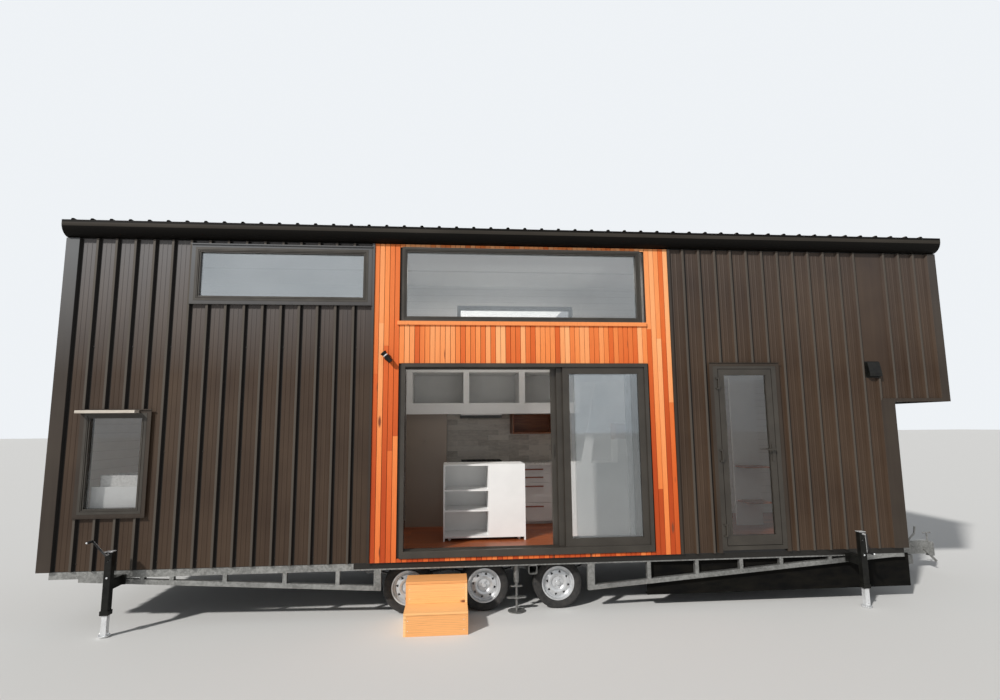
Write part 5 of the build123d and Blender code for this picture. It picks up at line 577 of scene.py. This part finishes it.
def eased_blocks(lo, hi, ease, along=2):
    """Blocks with eased long edges: an eight-cornered section carried from one end to the other along an axis.

    Section corners lie at the block's sides less the easing; each end is closed by three quads.
    """
    lo, hi = np.atleast_2d(lo).astype(float), np.atleast_2d(hi).astype(float)
    a, b = [axis for axis in range(3) if axis != along]
    pick = np.array([(0, 0, 1, 0), (1, 0, -1, 0), (1, 0, 0, 1), (1, 1, 0, -1),
                     (1, 1, -1, 0), (0, 1, 1, 0), (0, 1, 0, -1), (0, 0, 0, 1)])
    points = np.empty((len(lo), 16, 3))
    for end in (0, 1):
        part = points[:, end * 8:end * 8 + 8]
        part[:, :, a] = np.where(pick[:, 0], hi[:, a:a + 1], lo[:, a:a + 1]) + pick[:, 2] * ease
        part[:, :, b] = np.where(pick[:, 1], hi[:, b:b + 1], lo[:, b:b + 1]) + pick[:, 3] * ease
        part[:, :, along] = (hi if end else lo)[:, along:along + 1]
    ring = np.arange(8)
    sides = np.stack([ring, (ring + 1) % 8, (ring + 1) % 8 + 8, ring + 8], -1)
    foot = np.array([(3, 2, 1, 0), (7, 4, 3, 0), (7, 6, 5, 4)])
    cells = np.concatenate([sides, foot, foot[:, ::-1] + 8])
    if along == 1:
        cells = cells[:, ::-1]
    return points.reshape(-1, 3), (cells[None] + (np.arange(len(lo)) * 16)[:, None, None]).reshape(-1, 4)


def tones(count, seed):
    """One steady tone from 0 to 1 for each board, repeated for its sixteen corners."""
    return np.repeat(np.random.default_rng(seed).random(count), 16)


chance = np.random.default_rng(7)
edges = np.linspace(BAY[0], BAY[1], 61)
lo, hi = [], []
for left, right in zip(edges[:-1] + 2.0, edges[1:] - 2.0):
    spans = [(0.0, HEAD)]
    if right > CLERESTORY[0] and left < CLERESTORY[1]:
        spans = [(0.0, CLERESTORY[2]), (CLERESTORY[3], HEAD)]
    if right > DOORWAY[0] and left < DOORWAY[1]:
        spans = [(0.0, DOORWAY[2]), (DOORWAY[3], CLERESTORY[2]), (CLERESTORY[3], HEAD)]
    for low, high in spans:
        joints = [low, high]
        if high - low > 1500.0:
            joints = [low, low + (high - low) * (0.2 + 0.6 * chance.random()), high]
        for z0, z1 in zip(joints[:-1], joints[1:]):
            lo.append((left, -20.0, z0 + (0.0 if z0 == low else 0.8)))
            hi.append((right, -5.0, z1))
lo, hi = np.array(lo), np.array(hi)

cedar, tree, place, skin = finish("cedar")
tone = wire(tree, "Attribute", attribute_name="tone").outputs["Fac"]
moved = wire(tree, "CombineXYZ", {"X": tone, "Y": tone, "Z": tone}).outputs[0]
moved = wire(tree, "VectorMath", {0: moved, "Scale": 37.0}, operation="SCALE").outputs[0]
own = wire(tree, "VectorMath", {0: place, 1: moved}, operation="ADD").outputs[0]
fine = noise(tree, own, 40.0, stretch=(5.0, 5.0, 0.12), detail=9.0, rough=0.65)
wave = wire(tree, "Mapping", {"Vector": own, "Scale": (1.0, 1.0, 0.07)}).outputs[0]
growth = wire(tree, "TexWave", {"Vector": wave, "Scale": 42.0, "Distortion": 7.0, "Detail": 3.0,
                                "Detail Scale": 1.4},
              wave_type="RINGS", rings_direction="Y").outputs["Fac"]
figure = wire(tree, "Math", {0: growth, 1: 0.45, 2: fine}, operation="MULTIPLY_ADD").outputs[0]
height = wire(tree, "SeparateXYZ", {"Vector": place}).outputs[2]
bleached = wire(tree, "MapRange", {"Value": height, "From Min": 0.6, "From Max": 3.2,
                                   "To Min": -0.22, "To Max": 0.32}).outputs[0]
weathered = wire(tree, "Math", {0: tone, 1: 0.8, 2: bleached}, operation="MULTIPLY_ADD").outputs[0]
base = ramp(tree, weathered, (0.0, (0.46, 0.062, 0.010)), (0.3, (0.70, 0.130, 0.024)), (0.65, (0.87, 0.260, 0.070)),
            (1.0, (0.95, 0.43, 0.180)))
shade = ramp(tree, figure, (0.25, 0.34), (0.6, 0.90), (1.0, 1.0))
wood = wire(tree, "MixRGB", {"Fac": 0.65, "Color1": base, "Color2": shade}, blend_type="MULTIPLY").outputs[0]
cells = wire(tree, "Mapping", {"Vector": own, "Scale": (6.0, 6.0, 1.6)}).outputs[0]
knots = wire(tree, "TexVoronoi", {"Vector": cells, "Scale": 1.0}).outputs["Distance"]
knots = ramp(tree, knots, (0.06, 1.0), (0.12, 0.0))
join(tree, blend(tree, knots, wood, (0.20, 0.05, 0.02)), skin, "Base Color")
join(tree, ramp(tree, fine, (0.2, 0.50), (0.9, 0.72)), skin, "Roughness")
skin.inputs["Specular IOR Level"].default_value = 0.25
relief(tree, skin, figure, 0.0009, 0.8)
body_boards = eased_blocks(lo, hi, 1.6)
sill = eased_blocks([(3410.0, -40.0, 2478.0)], [(6178.0, -20.0, 2521.0)], 2.0, along=0)
points, quads = gather(body_boards, sill)
cedar_boards = lay("cedar_boards", points, quads, cedar, "cedar", seams=20.0,
                   extra={"tone": np.concatenate([tones(len(lo), 3), np.full(16, 0.55)])})

membrane_paint, tree, place, skin = finish("black_membrane")
felt = ramp(tree, noise(tree, place, 30.0), (0.3, (0.010, 0.009, 0.008)), (0.8, (0.022, 0.017, 0.014)))
join(tree, felt, skin, "Base Color")
skin.inputs["Roughness"].default_value = 0.85
back = [(BAY[0], DOORWAY[0], 0.0, HEAD), (DOORWAY[1], BAY[1], 0.0, HEAD),
        (DOORWAY[0], DOORWAY[1], 0.0, DOORWAY[2]),
        (DOORWAY[0], DOORWAY[1], DOORWAY[3], CLERESTORY[2]), (DOORWAY[0], DOORWAY[1], CLERESTORY[3], HEAD)]
lay("bay_membrane", *eased_blocks([(left, -5.0, low) for left, right, low, high in back],
                                  [(right, 0.0, high) for left, right, low, high in back], 0.5),
    membrane_paint, "cedar")
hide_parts("timber_panel")

# Joinery. Powder-coated aluminium sections, mitred at the corners: window frames, the stacking door's frame and
# panels, the entry door and its frame, and the small hood over the left window.
aluminium, tree, place, skin = finish("dark_aluminium")
powder = noise(tree, place, 1400.0, detail=2.0)
wiped = noise(tree, place, 4.0, detail=5.0)
join(tree, ramp(tree, wiped, (0.3, (0.032, 0.027, 0.021)), (0.8, (0.052, 0.045, 0.036))), skin, "Base Color")
join(tree, ramp(tree, wiped, (0.3, 0.34), (0.8, 0.48)), skin, "Roughness")
skin.inputs["Metallic"].default_value = 0.15
relief(tree, skin, powder, 0.00008, 0.8)
dress(aluminium, "window_frames", "slider_frame", "slider_middle_panel", "slider_lead_panel", "entry_frame",
      "entry_door")

hood_paint, tree, place, skin = finish("hood_board")
grain = noise(tree, place, 14.0, stretch=(0.6, 4.0, 4.0), detail=8.0)
join(tree, ramp(tree, grain, (0.3, (0.42, 0.37, 0.31)), (0.75, (0.62, 0.57, 0.50))), skin, "Base Color")
join(tree, ramp(tree, grain, (0.2, 0.5), (0.9, 0.7)), skin, "Roughness")
relief(tree, skin, grain, 0.0006)
dress(hood_paint, "window_hood")

# Glass. Double panes that throw back the sky, and all of them mirror more at a slant; on top of that a painted
# reflection sets how much each pane mirrors by its height and place, the higher windows more than the doors.
# Three pale plastic stays stand behind the high window's lower edge.
pane_paint, tree, place, skin = finish("glass")
height = wire(tree, "SeparateXYZ", {"Vector": place}).outputs[2]
# Painted reflection: the share of mirror grows with height and is set pane by pane.
painted_reflection_by_place = wire(tree, "MapRange", {"Value": height, "From Min": 2.4, "From Max": 3.2,
                                "To Min": 0.04, "To Max": 0.44}).outputs[0]
bay_panes = within(tree, place, (3300.0, -200.0, 2300.0), (6300.0, 300.0, 3600.0))
fixed_pane = within(tree, place, (5350.0, -200.0, 0.0), (6300.0, 300.0, 2300.0))
painted_reflection_by_place = wire(tree, "Math", {0: bay_panes, 1: -0.24, 2: painted_reflection_by_place}, operation="MULTIPLY_ADD").outputs[0]
painted_reflection_by_place = wire(tree, "Math", {0: fixed_pane, 1: 0.16, 2: painted_reflection_by_place}, operation="MULTIPLY_ADD").outputs[0]
slant = wire(tree, "Fresnel", {"IOR": 1.5}).outputs[0]
veil = wire(tree, "Math", {0: slant, 1: 0.6, 2: painted_reflection_by_place}, operation="MULTIPLY_ADD", use_clamp=True).outputs[0]
sky = noise(tree, place, 0.9, stretch=(0.5, 1.0, 1.0), detail=5.0)
uneven = wire(tree, "MapRange", {"Value": sky, "To Min": 0.8, "To Max": 1.2}).outputs[0]
veil = wire(tree, "Math", {0: veil, 1: uneven}, operation="MULTIPLY", use_clamp=True).outputs[0]
join(tree, veil, skin, "Alpha")
join(tree, ramp(tree, sky, (0.3, (0.52, 0.56, 0.58)), (0.7, (0.70, 0.73, 0.74))), skin, "Base Color")
skin.inputs["Metallic"].default_value = 1.0
skin.inputs["Roughness"].default_value = 0.03
dress(pane_paint, "window_glass", "slider_fixed_glass", "slider_middle_glass", "slider_lead_glass",
      "entry_door_glass")

stay_paint, tree, place, skin = finish("stay_plastic")
moulded = noise(tree, place, 80.0)
join(tree, ramp(tree, moulded, (0.3, (0.62, 0.64, 0.64)), (0.8, (0.78, 0.79, 0.79))), skin, "Base Color")
join(tree, ramp(tree, moulded, (0.3, 0.4), (0.8, 0.6)), skin, "Roughness")
stays = [(x, 60.0, 2729.0) for x in (1440.0, 2186.0, 2880.0)]
lay("window_stays", *eased_blocks(stays, [(x + 12.0, y + 10.0, z + 62.0) for x, y, z in stays], 2.0),
    stay_paint, "glass")

# Lamp, vent cowl and jack tubes. Die-cast lamp, moulded plastic cowl and painted tubes, all in black satin.
black_satin, tree, place, skin = finish("black_satin")
worn = noise(tree, place, 20.0, detail=6.0)
join(tree, ramp(tree, worn, (0.35, (0.005, 0.005, 0.0045)), (0.8, (0.013, 0.013, 0.011))), skin, "Base Color")
join(tree, ramp(tree, worn, (0.3, 0.28), (0.8, 0.5)), skin, "Roughness")
skin.inputs["Specular IOR Level"].default_value = 0.2
relief(tree, skin, noise(tree, place, 500.0), 0.00012)
dress(black_satin, "wall_lamp", "vent_cowl", "jack_tubes")

# Jacks. Zinc-plated inner legs with dished feet, and bright cranks, whose black grips are told from the steel by
# their place. Caps and bolts are laid on, and so is the bright band round the wall lamp.
zinc, tree, place, skin = finish("zinc_plate")
rub = noise(tree, place, 60.0, stretch=(1.0, 1.0, 0.25), detail=6.0)
join(tree, ramp(tree, rub, (0.3, (0.60, 0.61, 0.62)), (0.8, (0.84, 0.85, 0.86))), skin, "Base Color")
join(tree, ramp(tree, rub, (0.3, 0.24), (0.8, 0.46)), skin, "Roughness")
skin.inputs["Metallic"].default_value = 0.45
relief(tree, skin, rub, 0.0003)
corners = [f"{row}_{side}" for row in ("front", "rear") for side in ("left", "right")]
dress(zinc, *(f"jack_leg_{name}" for name in corners))
crank_paint, tree, place, skin = finish("crank_steel_and_grip")
front_grips = within(tree, place, (0.0, -355.5, -500.0), (9900.0, -277.0, 500.0))
rear_grips = within(tree, place, (0.0, 2677.0, -500.0), (9900.0, 2755.5, 500.0))
grips = wire(tree, "Math", {0: front_grips, 1: rear_grips}, operation="MAXIMUM").outputs[0]
hand = noise(tree, place, 60.0, detail=6.0)
bright = ramp(tree, hand, (0.3, (0.60, 0.61, 0.62)), (0.8, (0.84, 0.85, 0.86)))
join(tree, blend(tree, grips, bright, (0.008, 0.008, 0.008)), skin, "Base Color")
join(tree, wire(tree, "Math", {0: grips, 1: -0.45, 2: 0.45}, operation="MULTIPLY_ADD").outputs[0], skin, "Metallic")
join(tree, wire(tree, "Math", {0: grips, 1: 0.25, 2: 0.35}, operation="MULTIPLY_ADD").outputs[0], skin, "Roughness")
relief(tree, skin, hand, 0.0003)
dress(crank_paint, *(f"jack_crank_{name}" for name in corners))
JACK_X, JACK_Y, TUBE_TOP, TUBE_FACE = (733.0, 8400.0), (-190.0, 2590.0), 218.0, -223.0
tubes = [(x, y) for x in JACK_X for y in JACK_Y]
lay("jack_caps", *eased_blocks([(x - 36.0, y - 36.0, TUBE_TOP) for x, y in tubes],
                               [(x + 36.0, y + 36.0, TUBE_TOP + 5.0) for x, y in tubes], 1.5),
    zinc, "jack_steel")
pivots = [(x, TUBE_FACE, z) for x in JACK_X for z in (137.0, -20.0)]
lay("jack_bolts", *studs(pivots, (0, -1, 0), 7.0, 6.0), zinc, "jack_steel")
lean = math.radians(40.0)
band = [(25.0, 17.0), (27.2, 18.0), (27.8, 19.0), (27.8, 29.0), (27.2, 30.0), (25.0, 31.0)]
lay("lamp_band", *turned([(3310.0, -72.0, 2120.0)], (-math.sin(lean), 0.0, math.cos(lean)), band, 28),
    zinc, "jack_steel")

# Loose step box. Dressed pine boards, screwed: two treads with a small nosing, two risers, stepped sides.
pine, tree, place, skin = finish("pine")
tone = wire(tree, "Attribute", attribute_name="tone").outputs["Fac"]
moved = wire(tree, "CombineXYZ", {"X": tone, "Y": tone, "Z": tone}).outputs[0]
moved = wire(tree, "VectorMath", {0: moved, "Scale": 23.0}, operation="SCALE").outputs[0]
own = wire(tree, "VectorMath", {0: place, 1: moved}, operation="ADD").outputs[0]
fine = noise(tree, own, 30.0, stretch=(0.15, 4.0, 4.0), detail=9.0, rough=0.62)
bent = wire(tree, "Mapping", {"Vector": own, "Scale": (0.12, 1.0, 1.0)}).outputs[0]
growth = wire(tree, "TexWave", {"Vector": bent, "Scale": 22.0, "Distortion": 6.0, "Detail": 3.0, "Detail Scale": 1.2},
              wave_type="RINGS", rings_direction="X").outputs["Fac"]
figure = wire(tree, "Math", {0: growth, 1: 0.5, 2: fine}, operation="MULTIPLY_ADD").outputs[0]
base = ramp(tree, tone, (0.0, (0.80, 0.37, 0.125)), (0.5, (0.90, 0.47, 0.175)), (1.0, (0.94, 0.56, 0.25)))
shade = ramp(tree, figure, (0.25, 0.5), (0.7, 0.95), (1.0, 1.0))
wood = wire(tree, "MixRGB", {"Fac": 0.55, "Color1": base, "Color2": shade}, blend_type="MULTIPLY").outputs[0]
cells = wire(tree, "Mapping", {"Vector": own, "Scale": (2.2, 5.0, 5.0)}).outputs[0]
knots = wire(tree, "TexVoronoi", {"Vector": cells, "Scale": 1.0}).outputs["Distance"]
knots = ramp(tree, knots, (0.05, 1.0), (0.10, 0.0))
join(tree, blend(tree, knots, wood, (0.16, 0.055, 0.02)), skin, "Base Color")
join(tree, ramp(tree, fine, (0.2, 0.48), (0.9, 0.68)), skin, "Roughness")
relief(tree, skin, figure, 0.0005, 0.7)
step_left, step_right, step_front, ground = 3550.0, 4156.0, -523.0, -560.0
tread, rise, board, nose = 275.0, 210.0, 22.0, 6.0
low_top, high_top, middle, back_edge = ground + rise, ground + 2 * rise, step_front + tread, step_front + 2 * tread
pieces = [
    ((step_left + board, step_front + nose, ground), (step_right - board, step_front + nose + board, low_top - board - 1)),
    ((step_left + board, middle + nose, low_top), (step_right - board, middle + nose + board, high_top - board - 1)),
    ((step_left, step_front, low_top - board), (step_right, middle + nose + board, low_top)),
    ((step_left, middle, high_top - board), (step_right, back_edge, high_top)),
    ((step_left + board, back_edge - board, high_top - 4 * board), (step_right - board, back_edge, high_top - board)),
    ((step_left, step_front + nose, ground), (step_left + board, back_edge, low_top - board - 1)),
    ((step_right - board, step_front + nose, ground), (step_right, back_edge, low_top - board - 1)),
    ((step_left, middle + nose, low_top), (step_left + board, back_edge, high_top - board - 1)),
    ((step_right - board, middle + nose, low_top), (step_right, back_edge, high_top - board - 1))]
step_lo, step_hi = (np.array([p[i] for p in pieces]) for i in (0, 1))
step_boards = lay("step_boards", *eased_blocks(step_lo, step_hi, 1.5, along=0), pine, "pine", seams=20.0,
                  extra={"tone": tones(len(pieces), 11)})
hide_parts("step_box")
nails = [(x, step_front + nose, z) for x in (step_left + 40, step_right - 40) for z in (ground + 50, ground + 140)]
nails += [(x, middle + nose, z) for x in (step_left + 40, step_right - 40) for z in (low_top + 50, low_top + 140)]
lay("step_screws", *studs(nails, (0, -1, 0), 3.0, 0.8), zinc, "jack_steel")

# Kitchen, stair joinery and trolley. Painted boards. Inside a node the timber pieces, the black range hood, the
# tall cupboard, the handles and the hob are told from the white or the bench top by their place; the drawer
# pulls and the hob's grates are laid on.
joinery, tree, place, skin = finish("white_joinery")
hand = noise(tree, place, 5.0, detail=5.0)
white = ramp(tree, hand, (0.3, (0.82, 0.82, 0.81)), (0.8, (0.88, 0.88, 0.87)))
join(tree, white, skin, "Base Color")
join(tree, ramp(tree, hand, (0.3, 0.30), (0.8, 0.42)), skin, "Roughness")
relief(tree, skin, noise(tree, place, 400.0), 0.00008)
dress(joinery, "island_trolley")

unit_paint, tree, place, skin = finish("joinery_and_timber")
hand = noise(tree, place, 5.0, detail=5.0)
grain = noise(tree, place, 12.0, stretch=(0.3, 4.0, 4.0), detail=8.0)
white = ramp(tree, hand, (0.3, (0.80, 0.80, 0.79)), (0.8, (0.86, 0.86, 0.85)))
timber = ramp(tree, grain, (0.3, (0.17, 0.045, 0.014)), (0.8, (0.42, 0.145, 0.05)))
shelf_box = within(tree, place, (4860.0, 1800.0, 1200.0), (5474.0, 2400.0, 1546.0))
tread = within(tree, place, (6030.0, 835.0, 1200.0), (6260.0, 1300.0, 1420.0))
low_shelf = within(tree, place, (7700.0, 990.0, 345.0), (8260.0, 1299.0, 388.0))
high_shelf = within(tree, place, (7700.0, 990.0, 795.0), (8260.0, 1299.0, 838.0))
shelves = wire(tree, "Math", {0: low_shelf, 1: high_shelf}, operation="MAXIMUM").outputs[0]
wooden = wire(tree, "Math", {0: shelf_box, 1: tread}, operation="MAXIMUM").outputs[0]
wooden = wire(tree, "Math", {0: wooden, 1: shelves}, operation="MAXIMUM").outputs[0]
hood = within(tree, place, (4100.0, 1700.0, 1480.0), (4720.0, 2400.0, 1530.0))
coat = blend(tree, wooden, white, timber)
join(tree, blend(tree, hood, coat, (0.012, 0.012, 0.012)), skin, "Base Color")
join(tree, ramp(tree, hand, (0.3, 0.34), (0.8, 0.50)), skin, "Roughness")
relief(tree, skin, grain, 0.0002)
dress(unit_paint, "overhead_cabinet", "stair_wall")

cabinet_paint, tree, place, skin = finish("cabinet_fronts")
parts = wire(tree, "SeparateXYZ", {"Vector": place})
right_of, front_of = (float(edge) for edge in in_frame([4700.0, 1739.0, 0.0])[:2])
proud = wire(tree, "Math", {0: parts.outputs[1], 1: front_of}, operation="LESS_THAN").outputs[0]
beside = wire(tree, "Math", {0: parts.outputs[0], 1: right_of}, operation="GREATER_THAN").outputs[0]
is_handle = wire(tree, "Math", {0: proud, 1: beside}, operation="MULTIPLY").outputs[0]
hand = noise(tree, place, 7.0, detail=5.0)
white = ramp(tree, hand, (0.3, (0.82, 0.82, 0.81)), (0.8, (0.88, 0.88, 0.87)))
stained = ramp(tree, noise(tree, place, 40.0, stretch=(0.2, 3.0, 3.0)), (0.3, (0.20, 0.055, 0.03)), (0.8, (0.34, 0.11, 0.055)))
tall = within(tree, place, (3380.0, 1700.0, 0.0), (3943.0, 2320.0, 1560.0))
fronts = blend(tree, tall, white, (0.27, 0.215, 0.17))
join(tree, blend(tree, is_handle, fronts, stained), skin, "Base Color")
join(tree, ramp(tree, hand, (0.3, 0.30), (0.8, 0.42)), skin, "Roughness")
relief(tree, skin, noise(tree, place, 400.0), 0.00008)
dress(cabinet_paint, "kitchen_cabinets")
pulls = [(4780.0 + 300.0, top - 48.0) for top in (832.0, 725.0, 604.0, 336.0)]
pull_paint, tree, place, skin = finish("stained_pulls")
stain = noise(tree, place, 40.0, stretch=(0.2, 3.0, 3.0))
join(tree, ramp(tree, stain, (0.3, (0.20, 0.045, 0.022)), (0.8, (0.36, 0.095, 0.045))), skin, "Base Color")
join(tree, ramp(tree, stain, (0.3, 0.4), (0.8, 0.6)), skin, "Roughness")
lay("drawer_pulls", *eased_blocks([(x - 181.0, 1712.0, z - 8.0) for x, z in pulls],
                                  [(x + 181.0, 1729.0, z + 8.0) for x, z in pulls], 3.0, along=0),
    pull_paint, "white_lining")
iron, tree, place, skin = finish("cast_iron")
cast = noise(tree, place, 300.0, detail=5.0)
join(tree, ramp(tree, cast, (0.3, (0.006, 0.006, 0.006)), (0.8, (0.018, 0.018, 0.018))), skin, "Base Color")
join(tree, ramp(tree, cast, (0.3, 0.55), (0.8, 0.8)), skin, "Roughness")
relief(tree, skin, cast, 0.0002)
bars_x, bars_y, bar_low, bar_high = np.linspace(4150.0, 4696.0, 9), (1830.0, 2000.0, 2190.0), 893.0, 903.0
inward = eased_blocks([(x, 1830.0, bar_low) for x in bars_x],
                      [(x + 9.0, 2199.0, bar_high) for x in bars_x], 1.5, along=1)
sideways = eased_blocks([(4146.0, y, bar_low) for y in bars_y],
                        [(4708.0, y + 9.0, bar_high) for y in bars_y], 1.5, along=0)
lay("hob_grates", *gather(inward, sideways), iron, "bench_top")

bench_paint, tree, place, skin = finish("bench_top")
parts = wire(tree, "SeparateXYZ", {"Vector": place})
stone = noise(tree, place, 45.0, detail=8.0)
pale = ramp(tree, stone, (0.3, (0.66, 0.65, 0.63)), (0.75, (0.82, 0.81, 0.79)))
right_of, front_of, top = (float(edge) for edge in in_frame([3000.0, 2200.0, 866.0]))
over = wire(tree, "Math", {0: parts.outputs[2], 1: top}, operation="GREATER_THAN").outputs[0]
fore = wire(tree, "Math", {0: parts.outputs[1], 1: front_of}, operation="LESS_THAN").outputs[0]
kitchen_side = wire(tree, "Math", {0: parts.outputs[0], 1: right_of}, operation="GREATER_THAN").outputs[0]
hob = wire(tree, "Math", {0: over, 1: fore}, operation="MULTIPLY").outputs[0]
hob = wire(tree, "Math", {0: hob, 1: kitchen_side}, operation="MULTIPLY").outputs[0]
join(tree, blend(tree, hob, pale, (0.02, 0.02, 0.02)), skin, "Base Color")
join(tree, ramp(tree, stone, (0.3, 0.22), (0.8, 0.38)), skin, "Roughness")
relief(tree, skin, stone, 0.0001)
dress(bench_paint, "worktop")

# Splashback. Long grey glazed tiles in running bond behind the bench, each a little different, on pale grout.
tile_paint, tree, place, skin = finish("glazed_tiles")
tone = wire(tree, "Attribute", attribute_name="tone").outputs["Fac"]
glaze = noise(tree, place, 12.0, stretch=(1.0, 1.0, 2.5), detail=5.0)
mixed = wire(tree, "Math", {0: tone, 1: 0.6, 2: glaze}, operation="MULTIPLY_ADD").outputs[0]
join(tree, ramp(tree, mixed, (0.35, (0.46, 0.41, 0.35)), (1.0, (0.80, 0.74, 0.66))), skin, "Base Color")
join(tree, ramp(tree, glaze, (0.3, 0.30), (0.8, 0.5)), skin, "Roughness")
relief(tree, skin, glaze, 0.0008, 0.5)
courses, tiles_lo, tiles_hi = np.arange(868.0, 1540.0, 76.0), [], []
for number, z in enumerate(courses):
    for x in np.arange(3946.0 - (150.0 if number % 2 else 0.0), 5790.0, 300.0):
        tiles_lo.append((max(x, 3946.0) + 1.0, 2281.5, z + 1.0))
        tiles_hi.append((min(x + 300.0, 5796.0) - 1.0, 2287.0, min(z + 76.0, 1545.0) - 1.0))
lay("splash_tiles", *eased_blocks(tiles_lo, tiles_hi, 1.2, along=0), tile_paint, "bench_top", seams=20.0,
    extra={"tone": tones(len(tiles_lo), 21)})
